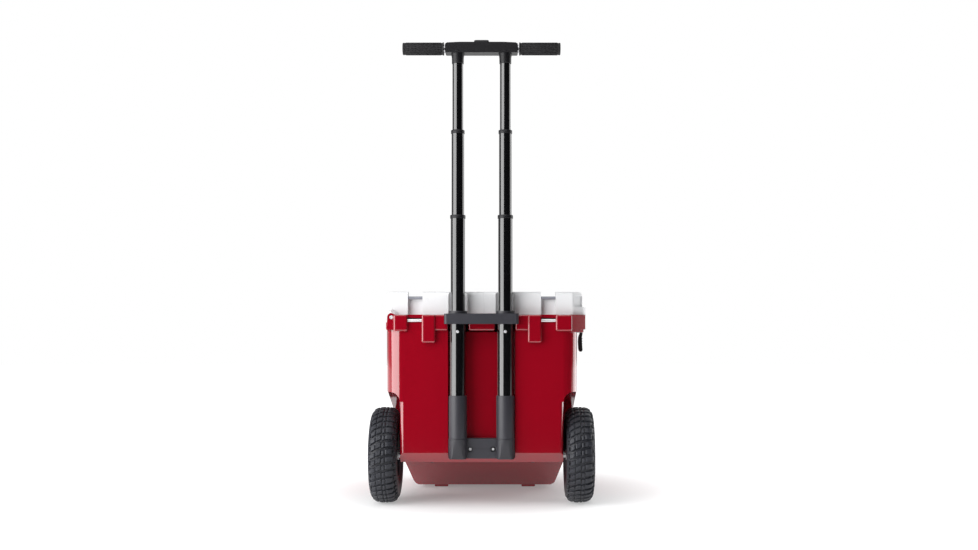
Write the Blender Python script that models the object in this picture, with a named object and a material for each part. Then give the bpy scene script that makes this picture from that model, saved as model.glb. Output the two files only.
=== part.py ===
"""Wheeled hard cooler: foam-filled tub and hinged lid, two wheels on an axle, telescoping pull handle.

Metres, +Z up. +X is the latch side, -X the hinge side, and the pull handle and the wheels are at -Y.
"""

import math

import bmesh
import bpy
from mathutils import Matrix, Vector

# Clearances and walls
GAP = 0.0003
WALL = 0.0045

# Tub
BODY_HALF_X = 0.2235
BODY_NEAR = -0.300
BODY_FAR = 0.300
HULL_BOTTOM = 0.008
RIM_TOP = 0.448
RIM_BOTTOM = 0.414
RIM_LIP = 0.407
HOLLOW_TOP = 0.410
BLOCK_FRONT = -0.308
CAVITY_NEAR = -0.240
CAVITY_FAR = 0.255
CAVITY_TOP_HALF_X = 0.181
FLOOR_NEAR = 0.150
FLOOR_FAR = 0.055

# Hinge
HINGE_X = -0.2093
HINGE_Z = 0.4418
KNUCKLE_R = 0.0100
HINGE_CLEAR_R = 0.0180
ROD_R = 0.0042
BORE_R = 0.0048
KNUCKLE_ENDS = (-0.300, -0.255, -0.045, 0.045, 0.255, 0.300)

# Lid
LID_BOTTOM = RIM_TOP + GAP
LID_TOP = 0.502
DECK_Z = 0.4910
LID_NEAR = -0.2835
LID_FAR = 0.306
PLUG_BOTTOM = 0.436
PLUG_HALF_X = 0.175

# Latches
LATCH_Y = (-0.165, 0.165)
LATCH_X = 0.2265
LATCH_Z = 0.4795
LATCH_HALF_Y = 0.0130

# Wheels
AXLE_Y = -0.210
AXLE_Z = 0.1143
TYRE_R = 0.1143
WHEEL_X = 0.2309
AXLE_R = 0.0075
BUSH_R = 0.0125

# Handle
TUBE_X = 0.055
TUBE_Y = -0.303
TUBE_WALL = 0.0016
FIXED_R = 0.0185
STAGE_R = (0.0165, 0.0145, 0.0125)
STAGE_BOTTOM = (0.350, 0.552, 0.740)
STAGE_TOP = (0.678, 0.8744, 1.0455)
RING_EXTRA = 0.0013
RING_HEIGHT = 0.008
BAR_Z = 1.0585
BAR_R = 0.0095
GRIP_R = 0.0138
GRIP_FLANGE_R = 0.0148
GRIP_INNER = 0.087
GRIP_OUTER = 0.1825
HOUSING_BOTTOM = 1.0462
HOUSING_TOP = 1.0734
RECESS_BACK = -0.2812
RECESS_HALF_X = 0.078

# Far end
CARRY_Y = 0.3145
CARRY_Z = 0.4300
CARRY_DROP = 0.070
DRAIN_Z = 0.074
DRAIN_R = 0.0150


def clear_scene():
    for obj in list(bpy.data.objects):
        bpy.data.objects.remove(obj, do_unlink=True)


def make_material(name, colour, roughness, metallic=0.0):
    material = bpy.data.materials.new(name)
    material.use_nodes = True
    shader = material.node_tree.nodes["Principled BSDF"]
    shader.inputs["Base Color"].default_value = (*colour, 1.0)
    shader.inputs["Roughness"].default_value = roughness
    shader.inputs["Metallic"].default_value = metallic
    material.diffuse_color = (*colour, 1.0)
    return material


def red_plastic():
    return make_material("red_plastic", (0.42, 0.010, 0.018), 0.32)


def white_plastic():
    return make_material("white_plastic", (0.82, 0.83, 0.85), 0.36)


def grey_plastic():
    return make_material("grey_plastic", (0.052, 0.052, 0.062), 0.48)


def black_rubber():
    return make_material("black_rubber", (0.022, 0.022, 0.025), 0.75)


def tyre_rubber():
    return make_material("tyre_rubber", (0.040, 0.042, 0.048), 0.70)


def black_paint():
    return make_material("black_paint", (0.006, 0.006, 0.007), 0.18, 0.2)


def bright_steel():
    return make_material("bright_steel", (0.62, 0.62, 0.64), 0.28, 1.0)


def foam():
    return make_material("foam", (0.75, 0.66, 0.42), 0.9)


def satin_grey():
    return make_material("satin_grey", (0.36, 0.37, 0.40), 0.4)


# Shapes: each is a list of vertices and a list of faces of one closed solid.


def loft(loops, closed_ring=False):
    """Joins loops of equal length, capping the first and the last unless the loops form a ring."""
    count = len(loops[0])
    vertices = [point for loop in loops for point in loop]
    faces = []
    pairs = len(loops) if closed_ring else len(loops) - 1
    for i in range(pairs):
        low = i * count
        high = ((i + 1) % len(loops)) * count
        for j in range(count):
            k = (j + 1) % count
            faces.append((low + j, low + k, high + k, high + j))
    if not closed_ring:
        faces.append(tuple(reversed(range(count))))
        faces.append(tuple(range(len(vertices) - count, len(vertices))))
    return vertices, faces


def placed(point, axis, height):
    """A 2-D point at a height along an axis: X takes (y, z), Y takes (x, z) and Z takes (x, y)."""
    a, b = point
    if axis == "X":
        return (height, a, b)
    if axis == "Y":
        return (a, height, b)
    return (a, b, height)


def prism(outline, axis, low, high, bevel=0.0):
    """An outline pushed along an axis, with its two ends narrowed by a bevel."""
    levels = [(low, 0.0), (high, 0.0)]
    if bevel:
        levels = [(low, bevel), (low + bevel, 0.0), (high - bevel, 0.0), (high, bevel)]
    loops = []
    for height, inset in levels:
        edge = grown(outline, -inset) if inset else outline
        loops.append([placed(point, axis, height) for point in edge])
    return loft(loops)


def box(low, high, bevel=0.0):
    outline = [(low[0], low[1]), (high[0], low[1]), (high[0], high[1]), (low[0], high[1])]
    return prism(outline, "Z", low[2], high[2], bevel)


def grown(outline, distance):
    """The outline with every side moved out by a distance, keeping its corners sharp."""
    area = 0.0
    for (ax, ay), (bx, by) in zip(outline, outline[1:] + outline[:1]):
        area += ax * by - bx * ay
    side = distance if area > 0 else -distance
    result = []
    for i, point in enumerate(outline):
        here = Vector(point)
        before = (here - Vector(outline[i - 1])).normalized()
        after = (Vector(outline[(i + 1) % len(outline)]) - here).normalized()
        first = Vector((before.y, -before.x))
        second = Vector((after.y, -after.x))
        middle = first + second
        result.append(tuple(here + middle * (2 * side / middle.length_squared)))
    return result


def rounded(x_low, x_high, y_low, y_high, radius, steps=5):
    """A rectangle's outline with rounded corners, anticlockwise."""
    outline = []
    corners = (
        (x_high - radius, y_low + radius, -90),
        (x_high - radius, y_high - radius, 0),
        (x_low + radius, y_high - radius, 90),
        (x_low + radius, y_low + radius, 180),
    )
    for x, y, start in corners:
        for i in range(steps + 1):
            angle = math.radians(start + 90 * i / steps)
            outline.append((x + radius * math.cos(angle), y + radius * math.sin(angle)))
    return outline


def turned(profile, centre, axis, segments=32, ring=False):
    """A profile of (radius, height) turned about an axis through a centre; a ring closes on itself."""
    loops = []
    for radius, height in profile:
        loop = []
        for i in range(segments):
            angle = 2 * math.pi * i / segments
            across = (radius * math.cos(angle), radius * math.sin(angle))
            point = Vector(placed(across, axis, height))
            loop.append(tuple(point + Vector(centre)))
        loops.append(loop)
    return loft(loops, closed_ring=ring)


def rod(centre, axis, low, high, radius, segments=24):
    return turned([(radius, low), (radius, high)], centre, axis, segments)


def pipe(centre, axis, low, high, outer, inner, segments=32):
    profile = [(inner, low), (outer, low), (outer, high), (inner, high)]
    return turned(profile, centre, axis, segments, ring=True)


# Objects


def add_object(name, shape, material=None):
    vertices, faces = shape
    work = bmesh.new()
    made = [work.verts.new(point) for point in vertices]
    for face in faces:
        work.faces.new([made[i] for i in face])
    bmesh.ops.recalc_face_normals(work, faces=work.faces)
    mesh = bpy.data.meshes.new(name)
    work.to_mesh(mesh)
    work.free()
    obj = bpy.data.objects.new(name, mesh)
    bpy.context.scene.collection.objects.link(obj)
    if material:
        mesh.materials.append(material)
    return obj


def boolean(obj, operation, other):
    modifier = obj.modifiers.new(operation.lower(), "BOOLEAN")
    modifier.operation = operation
    modifier.solver = "EXACT"
    modifier.object = other


def helper(name, shape, added=(), removed=()):
    """A hidden object used only to add material to a piece or to take it away."""
    obj = add_object(name, shape)
    obj.hide_render = True
    obj.display_type = "WIRE"
    combine(obj, added, removed)
    return obj


def combine(obj, added, removed):
    for operation, shapes in (("UNION", added), ("DIFFERENCE", removed)):
        for i, shape in enumerate(shapes):
            other = shape
            if isinstance(shape, tuple):
                other = helper(f"{obj.name}_{operation.lower()}_{i}", shape)
            boolean(obj, operation, other)


def piece(name, material, shape, added=(), removed=(), smooth=False):
    obj = add_object(name, shape, material)
    combine(obj, added, removed)
    if smooth:
        obj.data.shade_smooth()
        obj.data.set_sharp_from_angle(angle=math.radians(40))
    return obj


def moves_at(name, point, pieces, parent=None):
    """An empty on a joint's axis, as the parent of the pieces that move there."""
    empty = bpy.data.objects.new(name, None)
    empty.empty_display_size = 0.03
    empty.location = point
    bpy.context.scene.collection.objects.link(empty)
    if parent:
        empty.parent = parent
        empty.matrix_parent_inverse = Matrix.Translation(-parent.location)
    for obj in pieces:
        obj.parent = empty
        obj.matrix_parent_inverse = Matrix.Translation(-empty.location)
    return empty


# Tub


def hull(inset=0.0):
    """The tub's outer shape below the rim, without wheel wells: it narrows towards the bottom."""
    levels = (
        (HULL_BOTTOM, 0.1780, 0.272, 0.026),
        (0.0180, 0.1855, 0.280, 0.030),
        (0.0670, 0.1995, 0.288, 0.034),
        (0.1400, 0.2225, 0.298, 0.038),
        (0.4300, BODY_HALF_X, BODY_FAR, 0.038),
    )
    loops = []
    for i, (z, half_x, far, radius) in enumerate(levels):
        if i == 0:
            z += inset
        if i == len(levels) - 1 and inset:
            z = HOLLOW_TOP
        half_x -= inset
        outline = rounded(-half_x, half_x, BODY_NEAR + inset, far - inset, radius - inset, 4)
        loops.append([(x, y, z) for x, y in outline])
    return loft(loops)


def wheel_well(side, grow=0.0):
    arch = [
        (-0.400, -0.040),
        (-0.070, -0.040),
        (-0.078, 0.170),
        (-0.090, 0.208),
        (-0.140, 0.227),
        (-0.250, 0.268),
        (-0.400, 0.268),
    ]
    inner = side * (0.190 - grow)
    return prism(grown(arch, grow), "X", min(inner, side * 0.300), max(inner, side * 0.300))


def well_corner(side, grow=0.0):
    """Rounds the tub's upright edge beside the wheel."""
    curve = [(0.1898, -0.288), (0.1872, -0.2955), (0.181, -0.3002)]
    outline = curve + [(0.181, -0.320), (0.206, -0.320), (0.206, -0.288)]
    edge = grown([(side * x, y) for x, y in outline], grow)
    return prism(edge, "Z", 0.050, 0.2665 + grow)


def under_side(grow=0.0):
    """Raises the underside at the wheel end, from the flat bottom up a slope."""
    outline = [
        (-0.340, -0.060),
        (0.055, -0.060),
        (0.055, HULL_BOTTOM),
        (-0.060, 0.1035),
        (-0.2765, 0.1035),
        (-0.340, 0.167),
    ]
    return prism(grown(outline, grow), "X", -0.300, 0.300)


def handle_recess(grow=0.0):
    outline = [
        (-RECESS_HALF_X, -0.360),
        (RECESS_HALF_X, -0.360),
        (RECESS_HALF_X, -0.288),
        (0.0715, RECESS_BACK),
        (-0.0715, RECESS_BACK),
        (-RECESS_HALF_X, -0.288),
    ]
    return prism(grown(outline, grow), "Z", 0.1134 - grow, 0.470)


def axle_groove(grow=0.0):
    return box((-0.210, AXLE_Y - 0.011 - grow, 0.050), (0.210, AXLE_Y + 0.011 + grow, 0.1265 + grow))


def cavity(grow=0.0):
    """The food space: it narrows downwards and its floor steps up over the axle."""
    loops = []
    for z, half_x, near, far, radius in (
        (FLOOR_FAR - grow, 0.158, -0.232, 0.243, 0.020),
        (FLOOR_FAR + 0.012, 0.166, -0.235, 0.247, 0.026),
        (0.470, CAVITY_TOP_HALF_X, CAVITY_NEAR, CAVITY_FAR, 0.030),
    ):
        edge = rounded(-half_x - grow, half_x + grow, near - grow, far + grow, radius + grow, 4)
        loops.append([(x, y, z) for x, y in edge])
    return loft(loops)


def floor_step(shrink=0.0):
    """The raised part of the floor, above the axle and the sloping underside."""
    outline = [
        (-0.300, -0.050),
        (0.120 - shrink, -0.050),
        (0.080 - shrink, FLOOR_FAR - 0.010 - shrink),
        (-0.020 - shrink, FLOOR_NEAR - shrink),
        (-0.300, FLOOR_NEAR - shrink),
    ]
    return prism(outline, "X", -0.260, 0.260)


def cavity_helper(name, grow=0.0):
    return helper(name, cavity(grow), removed=[floor_step(grow)])


def hollow(name, inset):
    """The space between the tub's two walls, which the foam fills."""
    removed = [
        wheel_well(-1, inset),
        wheel_well(1, inset),
        well_corner(-1, inset),
        well_corner(1, inset),
        under_side(inset),
        handle_recess(inset),
        axle_groove(inset),
        cavity_helper(name + "_room", inset),
    ]
    return hull(inset), removed


def rim_outline():
    return [
        (-0.2050, BODY_NEAR),
        (0.2095, BODY_NEAR),
        (0.2430, -0.2650),
        (0.2430, 0.2780),
        (0.2095, 0.3120),
        (-0.2050, 0.3120),
        (-0.2235, 0.2950),
        (-0.2235, -0.2830),
    ]


def near_blocks():
    """The raised blocks and hanging lugs along the rim at the handle end."""
    blocks = []
    for side in (-1, 1):
        corner_end = 0.204 if side < 0 else 0.2095
        for inner, outer, low, front in (
            (0.1715, corner_end, RIM_BOTTOM, BLOCK_FRONT),
            (0.0775, 0.1070, 0.411, BLOCK_FRONT),
            (0.1100, 0.1385, 0.3827, -0.3115),
        ):
            x = sorted((side * inner, side * outer))
            outline = rounded(x[0], x[1], low, RIM_TOP - 0.0005, 0.0035, 2)
            blocks.append(prism(outline, "Y", front, -0.295, 0.0015))
    return blocks


def body_knuckles():
    parts = []
    for low, high in ((0, 1), (2, 3), (4, 5)):
        y = (KNUCKLE_ENDS[low] + GAP, KNUCKLE_ENDS[high] - GAP)
        outline = [(HINGE_X, HINGE_Z + KNUCKLE_R)]
        for i in range(1, 9):
            angle = math.radians(90 + 90 * i / 8)
            outline.append((HINGE_X + KNUCKLE_R * math.cos(angle), HINGE_Z + KNUCKLE_R * math.sin(angle)))
        outline += [(-0.2210, 0.412), (-0.1880, 0.412), (-0.1880, HINGE_Z - 0.004)]
        outline.append((HINGE_X + 0.0100, HINGE_Z))
        outline.append((HINGE_X + 0.0071, HINGE_Z + 0.0071))
        parts.append(prism(outline, "Y", *y))
    return parts


def carry_lugs():
    lugs = []
    for side in (-1, 1):
        x = sorted((side * 0.0795, side * 0.104))
        outline = rounded(0.290, 0.3270, CARRY_Z - 0.014, RIM_TOP - 0.0005, 0.006, 2)
        lugs.append(prism(outline, "X", x[0], x[1]))
    return lugs


def feet():
    return [box((x - 0.018, 0.072, 0.0), (x + 0.018, 0.255, 0.014), 0.002) for x in (-0.115, 0.115)]


def tub_bores():
    """The holes for the hinge rod, the tie-down rods, the carry handle, the screws and the drain."""
    bores = [
        rod((HINGE_X, 0, HINGE_Z), "Y", -0.3050, 0.2945, BORE_R, 16),
        rod((0, 0, DRAIN_Z), "Y", 0.230, 0.320, DRAIN_R + GAP, 20),
    ]
    for side in (-1, 1):
        x = sorted((side * 0.1340, side * 0.1760))
        bores.append(rod((0, -0.2985, 0.4345), "X", x[0], x[1], 0.0041, 12))
        x = sorted((side * 0.0750, side * 0.0990))
        bores.append(rod((0, CARRY_Y, CARRY_Z), "X", x[0], x[1], 0.0048, 12))
        bores.append(rod((side * 0.0265, 0, 0.1355), "Y", -0.290, -0.2785, 0.0022, 10))
        for end in (-1, 1):
            bores.append(rod((side * 0.120, AXLE_Y + end * 0.018, 0), "Z", 0.090, 0.1065, 0.0022, 10))
    return bores


def tub_main():
    """The tub without its hinge knuckles."""
    rim = prism(rim_outline(), "Z", RIM_BOTTOM, RIM_TOP)
    lip = prism(grown(rim_outline(), -0.004), "Z", RIM_LIP, RIM_BOTTOM + 0.002)
    notches = [box((-0.0792, 0.3030, 0.395), (0.0792, 0.340, 0.460))]
    for side in (-1, 1):
        x = sorted((side * 0.1385, side * 0.1715))
        notches.append(box((x[0], -0.320, 0.4137), (x[1], -0.2870, 0.4405)))
    slots = [box((0.2335, y - 0.0145, 0.395), (0.260, y + 0.0145, 0.460)) for y in LATCH_Y]
    hinge_room = rod((HINGE_X, 0, HINGE_Z), "Y", -0.330, 0.330, HINGE_CLEAR_R, 32)
    return helper(
        "tub_main",
        hull(),
        added=[rim, lip, *near_blocks(), *carry_lugs(), *feet()],
        removed=[
            wheel_well(-1),
            wheel_well(1),
            well_corner(-1),
            well_corner(1),
            under_side(),
            recess_with_block(),
            axle_groove(),
            cavity_helper("food_room"),
            hinge_room,
            *notches,
            *slots,
        ],
    )


def tub_shell(material):
    base, cuts = hollow("tub_space", WALL)
    space = helper("tub_space", base, removed=cuts)
    knuckles = body_knuckles()
    return piece(
        "tub_shell",
        material,
        knuckles[0],
        added=[tub_main(), *knuckles[1:]],
        removed=[space, *tub_bores()],
    )


def tub_foam(material):
    base, cuts = hollow("tub_foam", WALL + GAP)
    drain = rod((0, 0, DRAIN_Z), "Y", 0.230, 0.320, DRAIN_R + 2 * GAP, 20)
    return piece("tub_foam", material, base, removed=[*cuts, drain])


def recess_with_block():
    """The handle's recess, which leaves the middle block of the rim standing."""
    block = prism(rounded(-0.031, 0.031, 0.411, 0.480, 0.0035, 2), "Y", -0.370, -0.270)
    return helper("recess_room", handle_recess(), removed=[block])


# Lid


def lid_outline(right=0.2370):
    return [
        (-0.2100, LID_NEAR),
        (0.2139, LID_NEAR),
        (right, -0.2560),
        (right, 0.2780),
        (0.2139, LID_FAR),
        (-0.2100, LID_FAR),
        (-0.2220, 0.2940),
        (-0.2220, -0.2715),
    ]


def lid_block():
    levels = ((LID_BOTTOM, 0.0), (0.4930, 0.0), (0.4980, 0.0020), (0.5010, 0.0050), (LID_TOP, 0.0090))
    loops = []
    for z, inset in levels:
        loops.append([(x, y, z) for x, y in grown(lid_outline(), -inset)])
    return loft(loops)


def plug_outline(grow=0.0):
    return rounded(-PLUG_HALF_X - grow, PLUG_HALF_X + grow, -0.2340 - grow, 0.2490 + grow, 0.024 + grow, 4)


def lid_space(inset=0.0):
    edge = rounded(-0.184 + inset, 0.204 - inset, -0.258 + inset, 0.284 - inset, 0.020 - inset, 4)
    return prism(edge, "Z", 0.4530 + inset, DECK_Z - WALL - inset)


def corner_pocket():
    """The shallow pocket in the slanted face at the lid's near latch-side corner."""
    start = Vector((0.2139, LID_NEAR))
    end = Vector((0.2445, -0.2560))
    along = (end - start).normalized()
    out = Vector((along.y, -along.x))
    corners = []
    for share, shift in ((0.10, 0.020), (0.84, 0.020), (0.84, -0.0045), (0.10, -0.0030)):
        corners.append(tuple(start + (end - start) * share + out * shift))
    return prism(corners, "Z", 0.4672, 0.4925)


def lid_main():
    """The lid without its hinge knuckles and its inner space."""
    lip = prism(lid_outline(0.2445), "Z", LID_BOTTOM, 0.4665)
    plug = prism(plug_outline(), "Z", PLUG_BOTTOM, LID_BOTTOM + 0.002)
    cuts = [
        rod((HINGE_X, 0, HINGE_Z), "Y", -0.330, 0.330, HINGE_CLEAR_R, 32),
        box((-0.260, -0.330, 0.430), (HINGE_X, 0.330, HINGE_Z + HINGE_CLEAR_R)),
        prism(rounded(-0.196, 0.212, -0.2570, 0.2800, 0.016, 3), "Z", DECK_Z, 0.520),
        corner_pocket(),
    ]
    for side in (-1, 1):
        cuts.append(rod((side * TUBE_X, TUBE_Y, 0), "Z", 0.440, 0.520, 0.0300, 32))
        x = sorted((side * 0.1385, side * 0.1725))
        notch = helper(f"lid_notch_{side}", box((x[0], -0.300, 0.440), (x[1], -0.2715, 0.520)))
        combine(notch, [box((x[0], -0.290, DECK_Z), (x[1], -0.2500, 0.520))], [])
        cuts.append(notch)
    for y in LATCH_Y:
        cuts.append(box((0.2175, y - 0.0145, 0.440), (0.260, y + 0.0145, 0.4950)))
    return helper("lid_main", lid_block(), added=[lip, plug], removed=cuts)


def lid_knuckles():
    parts = []
    for low, high in ((1, 2), (3, 4)):
        y = (KNUCKLE_ENDS[low] + GAP, KNUCKLE_ENDS[high] - GAP)
        outline = []
        for i in range(13):
            angle = math.radians(126 + 234 * i / 12)
            outline.append((HINGE_X + KNUCKLE_R * math.cos(angle), HINGE_Z + KNUCKLE_R * math.sin(angle)))
        outline += [(-0.1890, 0.4540), (-0.1890, 0.4640), (HINGE_X - 0.0059, 0.4640)]
        parts.append(prism(outline, "Y", *y))
    return parts


def lid_shell(material):
    knuckles = lid_knuckles()
    bores = [
        rod((HINGE_X, 0, HINGE_Z), "Y", -0.290, 0.290, BORE_R, 16),
        rod((0, 0.190, 0), "Z", 0.430, 0.4550, 0.0120, 20),
    ]
    for y in LATCH_Y:
        bores.append(rod((LATCH_X, y, LATCH_Z), "Y", -0.0195, 0.0195, 0.0033, 12))
    for side in (-1, 1):
        x = sorted((side * 0.1340, side * 0.1770))
        bores.append(rod((0, -0.2785, 0.4875), "X", x[0], x[1], 0.0038, 12))
    return piece(
        "lid_shell",
        material,
        knuckles[0],
        added=[lid_main(), knuckles[1]],
        removed=[lid_space(), *bores],
    )


def lid_foam(material):
    return piece("lid_foam", material, lid_space(GAP))


def lid_plug(material):
    profile = [(0.0100, 0.4362), (0.0117, 0.4378), (0.0117, 0.4528)]
    return piece("lid_plug", material, turned(profile, (0, 0.190, 0), "Z", 20), smooth=True)


def lid_gasket(material):
    ring = prism(plug_outline(0.0040), "Z", 0.4400, 0.4455)
    return piece("lid_gasket", material, ring, removed=[prism(plug_outline(GAP), "Z", 0.430, 0.450)])


def lid_tie_bar(name, material, side):
    x = sorted((side * 0.1343, side * 0.1767))
    return piece(name, material, rod((0, -0.2785, 0.4875), "X", x[0], x[1], 0.0035, 16), smooth=True)


def body_tie_rod(name, material, side):
    x = sorted((side * 0.1343, side * 0.1757))
    return piece(name, material, rod((0, -0.2985, 0.4345), "X", x[0], x[1], 0.00375, 16), smooth=True)


def hinge_rod(material):
    shape = rod((HINGE_X, 0, HINGE_Z), "Y", -0.3005, 0.2940, ROD_R, 16)
    return piece("hinge_rod", material, shape, smooth=True)


# Latches


def latch(name, material, y):
    """A rubber strap hung from a pin in the lid, through the rim's slot, ending in a thick tail."""
    right = [(0.2310, 0.4800), (0.2425, 0.4620), (0.2425, 0.4060), (0.2455, 0.3900), (0.2515, 0.3640)]
    end = [(0.2505, 0.3575), (0.2455, 0.3550), (0.2405, 0.3580)]
    left = [(0.2390, 0.3640), (0.2375, 0.3880), (0.2365, 0.4060), (0.2365, 0.4600), (0.2230, 0.4720)]
    outline = right + end + left
    strap = prism(outline, "Y", y - LATCH_HALF_Y, y + LATCH_HALF_Y, 0.0008)
    eye = rod((LATCH_X, y, LATCH_Z), "Y", -LATCH_HALF_Y, LATCH_HALF_Y, 0.0065, 20)
    bore = rod((LATCH_X, y, LATCH_Z), "Y", -0.020, 0.020, 0.0033, 12)
    return piece(name, material, eye, added=[strap], removed=[bore], smooth=True)


def latch_pin(name, material, y):
    shape = rod((LATCH_X, y, LATCH_Z), "Y", -0.0190, 0.0190, 0.0030, 16)
    return piece(name, material, shape, smooth=True)


# Wheels


def axle(material):
    shape = rod((0, AXLE_Y, AXLE_Z), "X", -0.2613, 0.2613, AXLE_R, 24)
    return piece("axle", material, shape, smooth=True)


def axle_strap(name, material, side):
    low = (side * 0.120 - 0.015, AXLE_Y - 0.026, 0.1000)
    high = (side * 0.120 + 0.015, AXLE_Y + 0.026, 0.1032)
    saddle = box((low[0], AXLE_Y - 0.0105, 0.1020), (high[0], AXLE_Y + 0.0105, 0.1065))
    holes = [rod((side * 0.120, AXLE_Y + end * 0.018, 0), "Z", 0.090, 0.110, 0.0022, 10) for end in (-1, 1)]
    return piece(name, material, box(low, high), added=[saddle], removed=holes)


def strap_screw(name, material, x, y):
    profile = [(0.0040, 0.0975), (0.0045, 0.0982), (0.0045, 0.0997), (0.0018, 0.0997), (0.0018, 0.1060)]
    return piece(name, material, turned(profile, (x, y, 0), "Z", 14), smooth=True)


def tyre(name, material, side):
    """A chunky tyre, open to the rim, with staggered tread blocks."""
    segments = 36
    outer = [
        (-0.0270, 0.0560, 0.0, 0),
        (-0.0322, 0.0680, 0.0, 0),
        (-0.0338, 0.0840, 0.0, 0),
        (-0.0331, 0.0950, 0.0022, 0),
        (-0.0300, 0.1040, 0.0035, 0),
        (-0.0225, 0.1105, 0.0045, 0),
        (-0.0110, 0.1136, 0.0045, 1),
        (0.0, TYRE_R, 0.0045, 2),
        (0.0110, 0.1136, 0.0045, 1),
        (0.0225, 0.1105, 0.0045, 0),
        (0.0300, 0.1040, 0.0035, 0),
        (0.0331, 0.0950, 0.0022, 0),
        (0.0338, 0.0840, 0.0, 0),
        (0.0322, 0.0680, 0.0, 0),
        (0.0270, 0.0560, 0.0, 0),
    ]
    inner = [(0.0215, 0.0560), (0.0265, 0.0700), (0.0270, 0.0850), (0.0210, 0.0980), (0.0, 0.1050)]
    inner += [(-x, r) for x, r in reversed(inner[:-1])]
    loops = []
    for x, radius, depth, shift in outer + [(x, r, 0.0, 0) for x, r in inner]:
        loop = []
        for i in range(segments):
            angle = 2 * math.pi * i / segments
            r = radius - (depth if (i + shift) % 3 == 0 else 0.0)
            y = AXLE_Y + r * math.cos(angle)
            z = AXLE_Z + r * math.sin(angle)
            loop.append((side * WHEEL_X + x, y, z))
        loops.append(loop)
    return piece(name, material, loft(loops, closed_ring=True), smooth=True)


def wheel_rim(name, material, side):
    profile = [
        (0.0128, -0.0245),
        (0.0220, -0.0245),
        (0.0240, -0.0080),
        (0.0480, -0.0080),
        (0.0500, -0.0275),
        (0.0557, -0.0295),
        (0.0557, 0.0295),
        (0.0500, 0.0275),
        (0.0480, 0.0060),
        (0.0240, 0.0080),
        (0.0220, 0.0240),
        (0.0128, 0.0240),
    ]
    centre = (side * WHEEL_X, AXLE_Y, AXLE_Z)
    windows = []
    for i in range(5):
        angle = 2 * math.pi * i / 5 + 0.3
        y = AXLE_Y + 0.0360 * math.cos(angle)
        z = AXLE_Z + 0.0360 * math.sin(angle)
        windows.append(rod((side * WHEEL_X, y, z), "X", -0.040, 0.040, 0.0088, 12))
    shape = turned(profile, centre, "X", 36, ring=True)
    return piece(name, material, shape, removed=windows, smooth=True)


def wheel_bush(name, material, side):
    centre = (side * WHEEL_X, AXLE_Y, AXLE_Z)
    shape = pipe(centre, "X", -0.0247, 0.0243, BUSH_R, AXLE_R + GAP, 24)
    return piece(name, material, shape, smooth=True)


def axle_washer(name, material, side):
    """Keeps the wheel off the tub."""
    x = sorted((side * 0.2000, side * 0.2055))
    shape = pipe((0, AXLE_Y, AXLE_Z), "X", x[0], x[1], 0.0125, AXLE_R + GAP, 24)
    return piece(name, material, shape, smooth=True)


def axle_cap(name, material, side):
    profile = [
        (AXLE_R + GAP, side * 0.2560),
        (0.0150, side * 0.2560),
        (0.0150, side * 0.2580),
        (0.0115, side * 0.2590),
        (0.0105, side * 0.2628),
        (0.0060, side * 0.2642),
        (0.0020, side * 0.2642),
        (0.0020, side * 0.2618),
        (AXLE_R + GAP, side * 0.2618),
    ]
    shape = turned(profile, (0, AXLE_Y, AXLE_Z), "X", 24, ring=True)
    return piece(name, material, shape, smooth=True)


# Pull handle


def handle_base(material):
    """The moulded base at the bottom of the recess: a cross plate and a cup for each tube."""
    plate = box((-0.036, -0.3000, 0.1140), (0.036, -0.2816, 0.1606), 0.0008)
    cups = []
    cuts = []
    for side in (-1, 1):
        x = sorted((side * 0.0335, side * 0.0765))
        loops = []
        for z, front, inset in ((0.1140, -0.3140, 0.0050), (0.1320, -0.3250, 0.0), (0.1606, -0.3250, 0.0)):
            edge = rounded(x[0] + inset, x[1] - inset, front, -0.2816, 0.008, 3)
            loops.append([(px, py, z) for px, py in edge])
        cups.append(loft(loops))
        cuts.append(rod((side * TUBE_X, TUBE_Y, 0), "Z", 0.1250, 0.180, FIXED_R + GAP, 32))
        cuts.append(rod((side * 0.0265, 0, 0.1355), "Y", -0.310, -0.2930, 0.0062, 16))
        cuts.append(rod((side * 0.0265, 0, 0.1355), "Y", -0.310, -0.270, 0.0022, 10))
    return piece("handle_base", material, plate, added=cups, removed=cuts, smooth=True)


def base_screw(name, material, side):
    profile = [(0.0028, -0.2965), (0.0034, -0.2960), (0.0034, -0.2933)]
    profile += [(0.0018, -0.2933), (0.0018, -0.2790)]
    shape = turned(profile, (side * 0.0265, 0, 0.1355), "Y", 14)
    return piece(name, material, shape, smooth=True)


def socket_sleeve(name, material, side):
    low, high = 0.1609, 0.2606
    profile = [
        (FIXED_R + GAP, low),
        (0.0210, low),
        (0.0210, high - 0.002),
        (0.0200, high),
        (FIXED_R + GAP, high),
    ]
    shape = turned(profile, (side * TUBE_X, TUBE_Y, 0), "Z", 36, ring=True)
    return piece(name, material, shape, smooth=True)


def fixed_tube(name, material, side):
    """The tube that stays on the tub."""
    tube = pipe((side * TUBE_X, TUBE_Y, 0), "Z", 0.1253, 0.4550, FIXED_R, FIXED_R - TUBE_WALL, 32)
    hole = rod((side * TUBE_X, 0, 0.4085), "Y", -0.330, -0.310, 0.0019, 10)
    return piece(name, material, tube, removed=[hole], smooth=True)


def tube_screw(name, material, side):
    profile = [(0.0026, -0.3240), (0.0035, -0.3232), (0.0035, -0.3217)]
    profile += [(0.0015, -0.3217), (0.0015, -0.3202)]
    shape = turned(profile, (side * TUBE_X, 0, 0.4085), "Y", 14)
    return piece(name, material, shape, smooth=True)


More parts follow.
